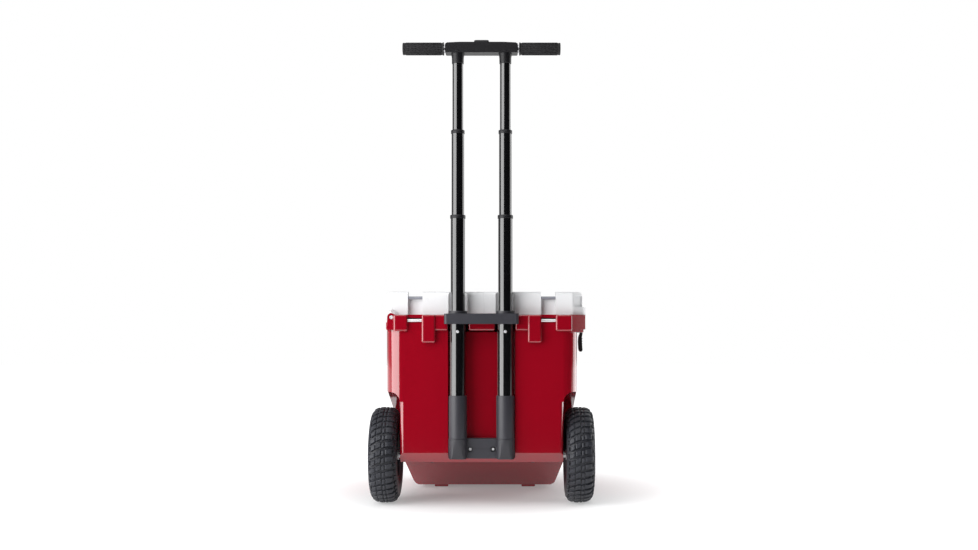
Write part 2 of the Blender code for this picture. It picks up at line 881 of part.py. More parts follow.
def stage_tube(name, material, side, stage):
    """One telescoping tube, with a stop ring at its top on the two that take another tube inside."""
    radius = STAGE_R[stage]
    low = STAGE_BOTTOM[stage]
    high = STAGE_TOP[stage]
    profile = [(radius - TUBE_WALL, low), (radius, low), (radius, high), (radius - TUBE_WALL, high)]
    if stage < 2:
        ring = radius + RING_EXTRA
        profile[2:3] = [(radius, high - RING_HEIGHT), (ring, high - RING_HEIGHT), (ring, high)]
    shape = turned(profile, (side * TUBE_X, TUBE_Y, 0), "Z", 32, ring=True)
    return piece(name, material, shape, smooth=True)


def handle_clamp(material):
    """Holds the two fixed tubes to the rim, wrapping them from the front."""
    half = [(0.0335, -0.3005), (0.0335, -0.2920), (0.0768, -0.2920), (0.0768, -0.3085)]
    half += [(0.0860, -0.3085), (0.0860, -0.3190), (0.0840, -0.3242), (0.0780, -0.3270)]
    outline = half + [(-x, y) for x, y in reversed(half)]
    plate = prism(outline, "Z", 0.4260, 0.4500, 0.0008)
    collars = []
    cuts = [box((-0.0330, -0.3000, 0.420), (0.0330, -0.2700, 0.470))]
    cuts.append(box((-0.100, -0.2920, 0.420), (0.100, -0.2700, 0.470)))
    for side in (-1, 1):
        centre = (side * TUBE_X, TUBE_Y, 0)
        collars.append(turned([(0.0222, 0.4300), (0.0222, 0.4545), (0.0212, 0.4560)], centre, "Z", 32))
        cuts.append(rod(centre, "Z", 0.400, 0.480, FIXED_R + 0.0004, 32))
    return piece("handle_clamp", material, plate, added=collars, removed=cuts, smooth=True)


def tube_collar(name, material, side):
    profile = [(0.0128, 1.0285), (0.0137, 1.0285), (0.0137, 1.0459), (0.0128, 1.0459)]
    shape = turned(profile, (side * TUBE_X, TUBE_Y, 0), "Z", 32, ring=True)
    return piece(name, material, shape, smooth=True)


def grip_housing(material):
    """The cross housing on top of the tubes, with a well for the button and a bore in each end."""
    half = [(0.0720, HOUSING_BOTTOM), (0.0790, 1.0490), (0.0820, 1.0530)]
    half += [(0.0820, 1.0645), (0.0770, 1.0705), (0.0500, HOUSING_TOP)]
    outline = half + [(-x, z) for x, z in reversed(half)]
    bar = prism(outline, "Y", TUBE_Y - 0.0165, TUBE_Y + 0.0165, 0.0022)
    cuts = [box((-0.0176, TUBE_Y - 0.0098, 1.0520), (0.0176, TUBE_Y + 0.0098, 1.090))]
    for side in (-1, 1):
        x = sorted((side * 0.0280, side * 0.0900))
        cuts.append(rod((0, TUBE_Y, BAR_Z), "X", x[0], x[1], BAR_R + GAP, 24))
    return piece("grip_housing", material, bar, removed=cuts)


def handlebar(name, material, side):
    x = sorted((side * 0.0285, side * 0.1800))
    shape = rod((0, TUBE_Y, BAR_Z), "X", x[0], x[1], BAR_R, 24)
    return piece(name, material, shape, smooth=True)


def grip(name, material, side):
    """A ribbed rubber grip with a flange at its inner end, closed at its outer end."""
    flange_end = GRIP_INNER + 0.0035
    profile = [(BAR_R + GAP, GRIP_INNER), (GRIP_FLANGE_R, GRIP_INNER), (GRIP_FLANGE_R, flange_end)]
    low = GRIP_INNER + 0.0040
    ribs = 5
    pitch = (GRIP_OUTER - 0.006 - low) / ribs
    for i in range(ribs):
        start = low + i * pitch
        profile.append((GRIP_R - 0.0012, start))
        profile.append((GRIP_R, start + 0.0012))
        profile.append((GRIP_R, start + pitch - 0.0018))
    profile.append((GRIP_R - 0.0012, GRIP_OUTER - 0.0060))
    profile.append((GRIP_R, GRIP_OUTER - 0.0050))
    profile.append((GRIP_R, GRIP_OUTER - 0.0015))
    profile.append((GRIP_R - 0.0015, GRIP_OUTER))
    profile += [(0.0030, GRIP_OUTER), (0.0030, 0.1803), (BAR_R + GAP, 0.1803)]
    placed_profile = [(r, side * x) for r, x in profile]
    shape = turned(placed_profile, (0, TUBE_Y, BAR_Z), "X", 20, ring=True)
    return piece(name, material, shape, smooth=True)


def release_button(material):
    low = (-0.0172, TUBE_Y - 0.0094, 1.0640)
    high = (0.0172, TUBE_Y + 0.0094, 1.0784)
    return piece("release_button", material, box(low, high, 0.0014))


def button_spring(material):
    """The coil under the button."""
    turns, per_turn, around = 4, 10, 6
    low, high, radius, wire = 1.0532, 1.0628, 0.0060, 0.0007
    loops = []
    total = turns * per_turn
    for i in range(total + 1):
        angle = 2 * math.pi * i / per_turn
        z = low + (high - low) * i / total
        loop = []
        for j in range(around):
            turn = 2 * math.pi * j / around
            r = radius + wire * math.cos(turn)
            loop.append((r * math.cos(angle), TUBE_Y + r * math.sin(angle), z + wire * math.sin(turn)))
        loops.append(loop)
    return piece("button_spring", material, loft(loops), smooth=True)


# Far end


def carry_handle(material):
    """A bent bar that hangs from two lugs at the far end."""
    wire = 0.0045
    half_x, corner = 0.0715, 0.012
    path = [(0.0985, 0.0), (half_x + 0.006, 0.0), (half_x + 0.0018, -0.0018), (half_x, -0.006)]
    path += [(half_x, corner - CARRY_DROP)]
    for i in range(1, 4):
        angle = math.radians(90 * i / 4)
        x = half_x - corner + corner * math.cos(angle)
        path.append((x, corner - CARRY_DROP - corner * math.sin(angle)))
    path += [(half_x - corner, -CARRY_DROP)]
    path += [(-x, z) for x, z in reversed(path)]
    loops = []
    for i, point in enumerate(path):
        here = Vector(point)
        before = here - Vector(path[i - 1]) if i else Vector(path[1]) - here
        after = Vector(path[i + 1]) - here if i + 1 < len(path) else before
        along = (before.normalized() + after.normalized()).normalized()
        out = Vector((along.y, -along.x))
        loop = []
        for j in range(12):
            turn = 2 * math.pi * j / 12
            shift = out * (wire * math.cos(turn))
            loop.append((here.x + shift.x, CARRY_Y + wire * math.sin(turn), CARRY_Z + here.y + shift.y))
        loops.append(loop)
    return piece("carry_handle", material, loft(loops), smooth=True)


def drain_fitting(material):
    """A flanged tube through both walls."""
    profile = [
        (0.0110, 0.2440),
        (DRAIN_R, 0.2440),
        (DRAIN_R, 0.2925),
        (0.0210, 0.2925),
        (0.0210, 0.2952),
        (0.0200, 0.2962),
        (0.0110, 0.2962),
    ]
    shape = turned(profile, (0, 0, DRAIN_Z), "Y", 28, ring=True)
    return piece("drain_fitting", material, shape, smooth=True)


def drain_plug(material):
    profile = [(0.0090, 0.2560), (0.0106, 0.2580), (0.0106, 0.2965), (0.0165, 0.2965)]
    profile += [(0.0165, 0.3030), (0.0150, 0.3045)]
    tab = box((-0.0030, 0.3020, DRAIN_Z - 0.0130), (0.0030, 0.3110, DRAIN_Z + 0.0130), 0.0008)
    shape = turned(profile, (0, 0, DRAIN_Z), "Y", 24)
    return piece("drain_plug", material, shape, added=[tab], smooth=True)


# Assembly

HANDS = ((-1, "left"), (1, "right"))


def build_tub(red, core, steel):
    tub_shell(red)
    tub_foam(core)
    hinge_rod(steel)
    for side, hand in HANDS:
        body_tie_rod(f"body_tie_rod_{hand}", steel, side)


def build_lid(white, core, rubber, satin, steel):
    pieces = [lid_shell(white), lid_foam(core), lid_plug(white), lid_gasket(rubber)]
    for side, hand in HANDS:
        pieces.append(lid_tie_bar(f"lid_tie_bar_{hand}", satin, side))
    for end, y in zip(("near", "far"), LATCH_Y):
        pieces.append(latch_pin(f"latch_pin_{end}", steel, y))
    axis = moves_at("lid_hinge_axis", (HINGE_X, 0, HINGE_Z), pieces)
    for end, y in zip(("near", "far"), LATCH_Y):
        strap = latch(f"latch_{end}", rubber, y)
        moves_at(f"{end}_latch_axis", (LATCH_X, y, LATCH_Z), [strap], axis)


def build_wheels(tread, grey, satin, steel):
    axle(steel)
    for side, hand in HANDS:
        axle_strap(f"axle_strap_{hand}", steel, side)
        for end, where in ((-1, "front"), (1, "rear")):
            strap_screw(f"strap_screw_{hand}_{where}", steel, side * 0.120, AXLE_Y + end * 0.018)
        axle_washer(f"axle_washer_{hand}", steel, side)
        axle_cap(f"axle_cap_{hand}", grey, side)
        wheel = [
            tyre(f"tyre_{hand}", tread, side),
            wheel_rim(f"wheel_rim_{hand}", grey, side),
            wheel_bush(f"wheel_bush_{hand}", satin, side),
        ]
        moves_at(f"{hand}_wheel_axis", (side * WHEEL_X, AXLE_Y, AXLE_Z), wheel)


def build_fixed_handle(grey, paint, steel):
    handle_base(grey)
    handle_clamp(grey)
    for side, hand in HANDS:
        base_screw(f"base_screw_{hand}", steel, side)
        socket_sleeve(f"socket_sleeve_{hand}", grey, side)
        fixed_tube(f"fixed_tube_{hand}", paint, side)
        tube_screw(f"tube_screw_{hand}", steel, side)


def build_pull_handle(grey, paint, steel, rubber):
    stages = []
    for stage, name in enumerate(("lower_stage_slide", "middle_stage_slide", "pull_bar_slide")):
        tubes = []
        for side, hand in HANDS:
            tubes.append(stage_tube(f"stage{stage + 1}_tube_{hand}", paint, side, stage))
        parent = stages[-1] if stages else None
        stages.append(moves_at(name, (0, TUBE_Y, STAGE_BOTTOM[stage]), tubes, parent))
    pieces = [grip_housing(grey), button_spring(steel)]
    for side, hand in HANDS:
        pieces.append(tube_collar(f"tube_collar_{hand}", grey, side))
        pieces.append(handlebar(f"handlebar_{hand}", steel, side))
        pieces.append(grip(f"grip_{hand}", rubber, side))
    bar = moves_at("cross_bar", (0, TUBE_Y, BAR_Z), pieces, stages[-1])
    moves_at("button_slide", (0, TUBE_Y, HOUSING_TOP), [release_button(rubber)], bar)


def build_far_end(paint, grey, rubber):
    moves_at("carry_bar_axis", (0, CARRY_Y, CARRY_Z), [carry_handle(paint)])
    drain_fitting(grey)
    moves_at("drain_plug_axis", (0, BODY_FAR, DRAIN_Z), [drain_plug(rubber)])


def build():
    clear_scene()
    red = red_plastic()
    white = white_plastic()
    grey = grey_plastic()
    rubber = black_rubber()
    paint = black_paint()
    steel = bright_steel()
    core = foam()
    satin = satin_grey()
    build_tub(red, core, steel)
    build_lid(white, core, rubber, satin, steel)
    build_wheels(tyre_rubber(), grey, satin, steel)
    build_fixed_handle(grey, paint, steel)
    build_pull_handle(grey, paint, steel, rubber)
    build_far_end(paint, grey, rubber)


build()
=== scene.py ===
"""The visual model of a wheeled hard cooler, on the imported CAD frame."""

import math

import bmesh
import bpy
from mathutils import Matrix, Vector


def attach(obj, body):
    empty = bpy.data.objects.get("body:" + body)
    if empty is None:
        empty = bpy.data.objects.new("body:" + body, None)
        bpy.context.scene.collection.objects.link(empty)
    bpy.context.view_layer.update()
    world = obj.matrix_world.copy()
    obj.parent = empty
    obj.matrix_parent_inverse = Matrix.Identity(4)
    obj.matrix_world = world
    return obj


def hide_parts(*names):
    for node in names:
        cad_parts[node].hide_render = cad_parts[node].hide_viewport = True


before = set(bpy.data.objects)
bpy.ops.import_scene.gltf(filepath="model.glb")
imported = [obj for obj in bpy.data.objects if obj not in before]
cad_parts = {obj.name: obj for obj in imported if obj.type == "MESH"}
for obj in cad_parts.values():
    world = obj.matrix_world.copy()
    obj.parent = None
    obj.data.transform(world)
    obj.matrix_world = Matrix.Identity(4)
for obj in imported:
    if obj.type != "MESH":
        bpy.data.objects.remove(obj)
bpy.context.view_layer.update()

# Sizes in metres, as in the CAD model, except that BAR_Z puts the grip bar 4.7 mm higher
RIM_TOP = 0.448
RIM_BOTTOM = 0.414
RIM_LIP = 0.407
BODY_NEAR = -0.300
HINGE_X, HINGE_Z = -0.2093, 0.4418
HINGE_CLEAR_R = 0.0180
HINGE_BORE_R = 0.0048
KNUCKLE_R = 0.0100
KNUCKLE_ENDS = (-0.300, -0.255, -0.045, 0.045, 0.255, 0.300)
LID_BOTTOM, LID_TOP, DECK_Z = 0.4483, 0.502, 0.4910
LID_NEAR, LID_FAR = -0.2835, 0.306
LATCH_Y = (-0.165, 0.165)
LATCH_X, LATCH_Z = 0.2265, 0.4795
AXLE_Y, AXLE_Z = -0.210, 0.1143
WHEEL_X, TYRE_R = 0.2309, 0.1143
TUBE_X, TUBE_Y = 0.055, -0.303
FIXED_R = 0.0185
SCREW_X, SCREW_Z = 0.0265, 0.1355
STAGE_R = (0.0165, 0.0145, 0.0125)
STAGE_BOTTOM = (0.350, 0.552, 0.740)
STAGE_TOP = (0.678, 0.8744, 1.0455)
BAR_Z = 1.0632
CARRY_Y, CARRY_Z, CARRY_DROP = 0.3145, 0.4300, 0.070
DRAIN_Z = 0.074
SIDES = ((-1, "left"), (1, "right"))


# ---- materials


class Nodes:
    """A material with its Principled shader, and short ways to add and link nodes."""

    def __init__(self, name):
        self.material = bpy.data.materials.new(name)
        self.material.use_nodes = True
        self.tree = self.material.node_tree
        self.shader = self.tree.nodes["Principled BSDF"]
        self.coordinates = self.add("ShaderNodeTexCoord").outputs["Object"]

    def add(self, kind, **settings):
        node = self.tree.nodes.new(kind)
        for key, value in settings.items():
            setattr(node, key, value)
        return node

    def link(self, source, target):
        self.tree.links.new(source, target)

    def noise(self, scale, detail=4.0, roughness=0.55, stretch=None):
        node = self.add("ShaderNodeTexNoise")
        node.inputs["Scale"].default_value = scale
        node.inputs["Detail"].default_value = detail
        node.inputs["Roughness"].default_value = roughness
        source = self.coordinates
        if stretch:
            mapping = self.add("ShaderNodeMapping")
            mapping.inputs["Scale"].default_value = stretch
            self.link(source, mapping.inputs["Vector"])
            source = mapping.outputs["Vector"]
        self.link(source, node.inputs["Vector"])
        return node.outputs["Fac"]

    def ramp(self, source, stops):
        node = self.add("ShaderNodeValToRGB")
        elements = node.color_ramp.elements
        while len(elements) < len(stops):
            elements.new(0.5)
        for element, (position, colour) in zip(elements, stops):
            element.position = position
            element.color = (*colour, 1.0) if isinstance(colour, tuple) else (colour, colour, colour, 1.0)
        self.link(source, node.inputs["Fac"])
        return node.outputs["Color"]

    def mix(self, factor, first, second, blend="MIX"):
        node = self.add("ShaderNodeMix", data_type="RGBA", blend_type=blend)
        for value, index in ((factor, 0), (first, 6), (second, 7)):
            socket = node.inputs[index]
            if isinstance(value, bpy.types.NodeSocket):
                self.link(value, socket)
            elif isinstance(value, tuple):
                socket.default_value = (*value, 1.0)
            else:
                socket.default_value = value
        return node.outputs[2]

    def scaled(self, source, low, high):
        node = self.add("ShaderNodeMapRange")
        node.inputs["From Min"].default_value = 0.25
        node.inputs["From Max"].default_value = 0.75
        node.inputs["To Min"].default_value = low
        node.inputs["To Max"].default_value = high
        self.link(source, node.inputs["Value"])
        return node.outputs["Result"]

    def bump(self, height, strength, distance, before=None):
        node = self.add("ShaderNodeBump")
        node.inputs["Strength"].default_value = strength
        node.inputs["Distance"].default_value = distance
        self.link(height, node.inputs["Height"])
        if before:
            self.link(before, node.inputs["Normal"])
        return node.outputs["Normal"]

    def finish(self, colour, rough, normal, **constants):
        self.link(colour, self.shader.inputs["Base Color"])
        self.link(rough, self.shader.inputs["Roughness"])
        self.link(normal, self.shader.inputs["Normal"])
        for key, value in constants.items():
            self.shader.inputs[key.replace("_", " ")].default_value = value
        return self.material


def shade(colour, factor):
    """The colour made lighter or darker."""
    return tuple(min(1.0, channel * factor) for channel in colour)


def moulded(name, colour, rough, grain, grain_depth, wave, dust, edge, **constants):
    """Moulded plastic: slow colour drift, a faint waviness, fine grain, rubbed edges and light scuffs."""
    n = Nodes(name)
    drift = n.ramp(n.noise(4.0, 3.0), [(0.25, shade(colour, 0.94)), (0.75, shade(colour, 1.05))])
    mottle = n.ramp(n.noise(90.0, 5.0, 0.7), [(0.30, 0.965), (0.70, 1.0)])
    base = n.mix(1.0, drift, mottle, "MULTIPLY")
    point = n.add("ShaderNodeNewGeometry").outputs["Pointiness"]
    worn = n.ramp(point, [(0.500, 0.0), (0.560, 0.55)])
    base = n.mix(worn, base, shade(colour, edge))
    scuff = n.ramp(n.noise(38.0, 8.0, 0.75, (1.0, 1.0, 0.12)), [(0.64, 0.0), (0.78, dust)])
    base = n.mix(scuff, base, (0.62, 0.60, 0.58))
    streaks = n.noise(24.0, 6.0, 0.6, (1.0, 1.0, 0.25))
    roughness = n.scaled(streaks, rough - 0.02, rough + 0.03)
    normal = n.bump(n.noise(9.0, 2.0), 0.35, wave)
    normal = n.bump(n.noise(grain, 2.0, 0.5), 0.35, grain_depth, normal)
    return n.finish(base, roughness, normal, **constants)


def rubber(name, colour, rough, grain=1400, bloom=0.12):
    """Matt black rubber: uneven tone, a pale bloom, lighter worn edges and a fine grain."""
    n = Nodes(name)
    drift = n.ramp(n.noise(14.0, 5.0, 0.65), [(0.30, shade(colour, 0.72)), (0.72, shade(colour, 1.30))])
    haze = n.ramp(n.noise(60.0, 6.0, 0.7), [(0.50, 0.0), (0.80, bloom)])
    base = n.mix(haze, drift, shade(colour, 2.6))
    point = n.add("ShaderNodeNewGeometry").outputs["Pointiness"]
    worn = n.ramp(point, [(0.51, 0.0), (0.60, 0.5)])
    base = n.mix(worn, base, shade(colour, 2.1))
    roughness = n.scaled(n.noise(45.0, 4.0), rough - 0.08, rough + 0.08)
    normal = n.bump(n.noise(grain, 3.0, 0.6), 0.5, 0.00018)
    return n.finish(base, roughness, normal, Specular_IOR_Level=0.35)


def metal(name, colour, rough, stretch=(1.0, 1.0, 30.0)):
    """Bare metal, finely brushed along one direction, with darker stains."""
    n = Nodes(name)
    brushed = n.noise(160.0, 4.0, 0.6, stretch)
    base = n.ramp(brushed, [(0.30, shade(colour, 0.80)), (0.70, shade(colour, 1.12))])
    stain = n.ramp(n.noise(30.0, 6.0, 0.7), [(0.55, 0.0), (0.85, 0.25)])
    base = n.mix(stain, base, shade(colour, 0.55))
    roughness = n.scaled(brushed, rough - 0.08, rough + 0.12)
    normal = n.bump(brushed, 0.20, 0.00006)
    return n.finish(base, roughness, normal, Metallic=1.0)


def coated(name, colour, rough, **constants):
    """A gloss coated tube: faint orange peel and hairline slide marks along its length."""
    n = Nodes(name)
    drift = n.ramp(n.noise(12.0, 3.0), [(0.30, shade(colour, 0.75)), (0.70, shade(colour, 1.35))])
    marks = n.ramp(n.noise(90.0, 8.0, 0.7, (6.0, 6.0, 0.10)), [(0.68, 0.0), (0.80, 0.05)])
    base = n.mix(marks, drift, (0.16, 0.16, 0.17))
    roughness = n.scaled(n.noise(50.0, 5.0, 0.6, (3.0, 3.0, 0.20)), rough - 0.02, rough + 0.04)
    normal = n.bump(n.noise(60.0, 1.0, 0.4), 0.10, 0.00004)
    return n.finish(base, roughness, normal, **constants)


def foam_material():
    """Yellowish insulation with visible cells."""
    n = Nodes("foam_core")
    cells = n.add("ShaderNodeTexVoronoi")
    cells.inputs["Scale"].default_value = 420.0
    n.link(n.coordinates, cells.inputs["Vector"])
    base = n.ramp(cells.outputs["Distance"], [(0.0, (0.55, 0.44, 0.20)), (0.6, (0.80, 0.70, 0.44))])
    normal = n.bump(cells.outputs["Distance"], 0.5, 0.0004)
    return n.finish(base, n.scaled(n.noise(80.0), 0.82, 0.95), normal)


RED = moulded(
    "red_plastic", (0.245, 0.0010, 0.0085), 0.11, grain=800, grain_depth=0.00003,
    wave=0.0005, dust=0.008, edge=1.30, Specular_IOR_Level=0.55, Coat_Weight=1.0,
    Coat_Roughness=0.04,
)
WHITE = moulded(
    "white_plastic", (0.780, 0.788, 0.800), 0.28, grain=800, grain_depth=0.00005,
    wave=0.0003, dust=0.008, edge=1.06,
)
GREY = moulded(
    "grey_plastic", (0.0165, 0.0162, 0.0210), 0.44, grain=1500, grain_depth=0.00016,
    wave=0.0003, dust=0.02, edge=2.2,
)
HOUSING = moulded(
    "housing_plastic", (0.0045, 0.0043, 0.0055), 0.42, grain=1500, grain_depth=0.00012,
    wave=0.0003, dust=0.02, edge=1.8, Specular_IOR_Level=0.30,
)
LATCH_RUBBER = rubber("latch_rubber", (0.006, 0.006, 0.007), 0.55)
GRIP_RUBBER = rubber("grip_rubber", (0.0095, 0.0092, 0.0105), 0.62, 1600, bloom=0.04)
TYRE_RUBBER = rubber("tyre_rubber", (0.017, 0.018, 0.023), 0.46, 1100)
STEEL = metal("bright_steel", (0.86, 0.86, 0.88), 0.46)
ROD_STEEL = metal("rod_steel", (0.88, 0.88, 0.89), 0.44, (30.0, 1.0, 1.0))
BAR_METAL = metal("bar_aluminium", (0.66, 0.66, 0.68), 0.34, (30.0, 1.0, 1.0))
TUBE_COAT = coated(
    "black_tube", (0.0025, 0.0025, 0.0030), 0.12, Specular_IOR_Level=0.8, Coat_Weight=0.5,
    Coat_Roughness=0.05,
)
SATIN = moulded(
    "satin_grey", (0.21, 0.22, 0.25), 0.40, grain=1200, grain_depth=0.00010, wave=0.0003,
    dust=0.02, edge=1.3,
)
FOAM = foam_material()


# ---- shapes


def loft(loops, closed_ring=False):
    """Joins loops of equal length, capping the ends unless the loops form a ring."""
    count = len(loops[0])
    vertices = [point for loop in loops for point in loop]
    faces = []
    for i in range(len(loops) if closed_ring else len(loops) - 1):
        low = i * count
        high = ((i + 1) % len(loops)) * count
        for j in range(count):
            k = (j + 1) % count
            faces.append((low + j, low + k, high + k, high + j))
    if not closed_ring:
        faces.append(tuple(reversed(range(count))))
        faces.append(tuple(range(len(vertices) - count, len(vertices))))
    return vertices, faces


def placed(point, axis, height):
    """A flat point set at a height along the axis."""
    a, b = point
    return {"X": (height, a, b), "Y": (a, height, b), "Z": (a, b, height)}[axis]


def grown(outline, distance):
    """The outline with each side moved outwards, or inwards if the distance is negative."""
    area = sum(a[0] * b[1] - b[0] * a[1] for a, b in zip(outline, outline[1:] + outline[:1]))
    side = distance if area > 0 else -distance
    result = []
    for i, point in enumerate(outline):
        here = Vector(point)
        before = (here - Vector(outline[i - 1])).normalized()
        after = (Vector(outline[(i + 1) % len(outline)]) - here).normalized()
        middle = Vector((before.y + after.y, -before.x - after.x))
        result.append(tuple(here + middle * (2 * side / middle.length_squared)))
    return result


def prism(outline, axis, low, high, bevel=0.0):
    """The outline carried along the axis from low to high, with softened ends if there is a bevel."""
    levels = [(low, 0.0), (high, 0.0)]
    if bevel:
        levels = [(low, bevel), (low + bevel * 0.3, bevel * 0.3), (low + bevel, 0.0)]
        levels += [(high - bevel, 0.0), (high - bevel * 0.3, bevel * 0.3), (high, bevel)]
    loops = []
    for height, inset in levels:
        flat = grown(outline, -inset) if inset else outline
        loops.append([placed(point, axis, height) for point in flat])
    return loft(loops)


def box(low, high, bevel=0.0):
    outline = [(low[0], low[1]), (high[0], low[1]), (high[0], high[1]), (low[0], high[1])]
    return prism(outline, "Z", low[2], high[2], bevel)


def rounded(x_low, x_high, y_low, y_high, radius, steps=8):
    """A rectangle with round corners."""
    outline = []
    corners = ((x_high, y_low, -90), (x_high, y_high, 0), (x_low, y_high, 90), (x_low, y_low, 180))
    for x, y, start in corners:
        cx = x - radius if x == x_high else x + radius
        cy = y - radius if y == y_high else y + radius
        for i in range(steps + 1):
            angle = math.radians(start + 90 * i / steps)
            outline.append((cx + radius * math.cos(angle), cy + radius * math.sin(angle)))
    return outline


def turned(profile, centre, axis, segments=64, ring=False):
    """A profile of (radius, height) pairs turned about an axis; a ring's profile is a closed outline."""
    loops = []
    for radius, height in profile:
        loop = []
        for i in range(segments):
            angle = 2 * math.pi * i / segments
            point = Vector(placed((radius * math.cos(angle), radius * math.sin(angle)), axis, height))
            loop.append(tuple(point + Vector(centre)))
        loops.append(loop)
    return loft(loops, closed_ring=ring)


def rod(centre, axis, low, high, radius, segments=48, edge=0.0):
    profile = [(radius, low), (radius, high)]
    if edge:
        profile = [(radius - edge, low), (radius, low + edge)]
        profile += [(radius, high - edge), (radius - edge, high)]
    return turned(profile, centre, axis, segments)


def pipe(centre, axis, low, high, outer, inner, segments=96, edge=0.0004):
    profile = [
        (inner, low), (outer - edge, low), (outer, low + edge), (outer, high - edge),
        (outer - edge, high), (inner, high),
    ]
    return turned(profile, centre, axis, segments, ring=True)


def around(count, radius, centre, start=0.0):
    """Points spaced evenly on a circle."""
    points = []
    for i in range(count):
        angle = 2 * math.pi * i / count + start
        points.append((centre[0] + radius * math.cos(angle), centre[1] + radius * math.sin(angle)))
    return points


def joined(shapes):
    vertices, faces = [], []
    for more_vertices, more_faces in shapes:
        start = len(vertices)
        vertices += more_vertices
        faces += [tuple(start + i for i in face) for face in more_faces]
    return vertices, faces


def raw_object(name, shape):
    vertices, faces = shape
    mesh = bpy.data.meshes.new(name)
    work = bmesh.new()
    made = [work.verts.new(point) for point in vertices]
    for face in faces:
        work.faces.new([made[i] for i in face])
    bmesh.ops.recalc_face_normals(work, faces=work.faces)
    work.to_mesh(mesh)
    work.free()
    obj = bpy.data.objects.new(name, mesh)
    bpy.context.scene.collection.objects.link(obj)
    return obj


def carved(name, shape, added=(), removed=()):
    """An object with shapes joined to it and cut from it, as a plain mesh."""
    obj = raw_object(name, shape)
    others = []
    for operation, shapes in (("UNION", added), ("DIFFERENCE", removed)):
        for item in shapes:
            other = item if isinstance(item, bpy.types.Object) else raw_object(name + "_tool", item)
            others.append(other)
            modifier = obj.modifiers.new("carve", "BOOLEAN")
            modifier.operation = operation
            modifier.solver = "EXACT"
            modifier.object = other
    graph = bpy.context.evaluated_depsgraph_get()
    mesh = bpy.data.meshes.new_from_object(obj.evaluated_get(graph))
    obj.modifiers.clear()
    obj.data = mesh
    for other in others:
        bpy.data.objects.remove(other, do_unlink=True)
    return obj


def finish_piece(obj, material, body, nodes, bevel=0.0, angle=32, segments=3):
    """Gives the object its material, shading and rounded edges, ties it to its body and hides the CAD
    nodes it stands in for.
    """
    obj.data.materials.clear()
    obj.data.materials.append(material)
    for polygon in obj.data.polygons:
        polygon.material_index = 0
    obj.data.shade_smooth()
    obj.data.set_sharp_from_angle(angle=math.radians(angle))
    if bevel:
        modifier = obj.modifiers.new("edge", "BEVEL")
        modifier.width = bevel
        modifier.segments = segments
        modifier.limit_method = "ANGLE"
        modifier.angle_limit = math.radians(angle)
        modifier.use_clamp_overlap = True
        modifier.miter_outer = "MITER_ARC"
        weighted = obj.modifiers.new("normals", "WEIGHTED_NORMAL")
        weighted.keep_sharp = False
        weighted.weight = 80
    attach(obj, body)
    if nodes:
        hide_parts(*nodes)
    return obj


def piece(name, shape, material, body, nodes, bevel=0.0, angle=32, segments=3):
    return finish_piece(raw_object(name, shape), material, body, nodes, bevel, angle, segments)


# ---- tub


def tub_piece(obj, bevel=0.0, angle=32, segments=3):
    finish_piece(obj, RED, "cooler", ["tub_shell"], bevel, angle, segments)


def hull():
    """The solid body: a foot that rounds in underneath, a tapered lower part and nearly upright walls."""
    levels = (
        (0.0080, 0.1715, 0.268, 0.024),
        (0.0092, 0.1762, 0.272, 0.025),
        (0.0122, 0.1808, 0.276, 0.027),
        (0.0165, 0.1840, 0.279, 0.029),
        (0.0220, 0.1862, 0.281, 0.030),
        (0.0670, 0.1995, 0.288, 0.034),
        (0.1400, 0.2225, 0.298, 0.038),
        (0.4300, 0.2235, 0.300, 0.038),
    )
    loops = []
    for z, half_x, far, radius in levels:
        outline = rounded(-half_x, half_x, BODY_NEAR, far, radius, 14)
        loops.append([(x, y, z) for x, y in outline])
    return loft(loops)


def hinge_cylinder(half_length, radius, segments):
    return rod((HINGE_X, 0, HINGE_Z), "Y", -half_length, half_length, radius, segments)


def latch_gaps():
    """The notches in the rim that the latch straps hang through."""
    return [box((0.2335, y - 0.0145, 0.395), (0.260, y + 0.0145, 0.460)) for y in LATCH_Y]


def wheel_well(side):
    arch = [
        (-0.400, -0.040), (-0.070, -0.040), (-0.078, 0.170), (-0.090, 0.208),
        (-0.140, 0.227), (-0.250, 0.268), (-0.400, 0.268),
    ]
    return prism(arch, "X", *sorted((side * 0.190, side * 0.300)))


def well_fillet(side):
    """The curve between the front of the well's ceiling and its inner wall, left standing by the cut."""
    outline = [(0.184, 0.300), (0.2130, 0.300), (0.2130, 0.2679)]
    for i in range(1, 11):
        angle = math.radians(90 + 90 * i / 10)
        outline.append((0.2130 + 0.0229 * math.cos(angle), 0.2450 + 0.0229 * math.sin(angle)))
    outline.append((0.184, 0.2450))
    return prism([(side * x, z) for x, z in outline], "Y", -0.330, -0.2520)


def well_corner(side):
    """What is cut away to round the body's upright corner in front of the well."""
    outline = []
    for i in range(8):
        angle = math.radians(90 * i / 7)
        outline.append((0.1805 + 0.0095 * math.cos(angle), -0.2905 - 0.0096 * math.sin(angle)))
    outline += [(0.1805, -0.330), (0.212, -0.330), (0.212, -0.2905)]
    return prism([(side * x, y) for x, y in outline], "Z", 0.050, 0.2455)


def under_side():
    """The space under the body: a leaning near edge, a raised flat at the axle and a slope to the foot."""
    outline = [
        (-0.340, -0.060), (0.055, -0.060), (0.055, 0.008), (-0.060, 0.1035),
        (-0.2765, 0.1035), (-0.340, 0.167),
    ]
    return prism(outline, "X", -0.300, 0.300)


def handle_recess():
    outline = [
        (-0.078, -0.360), (0.078, -0.360), (0.078, -0.288), (0.0715, -0.2812),
        (-0.0715, -0.2812), (-0.078, -0.288),
    ]
    return prism(outline, "Z", 0.1134, 0.470)


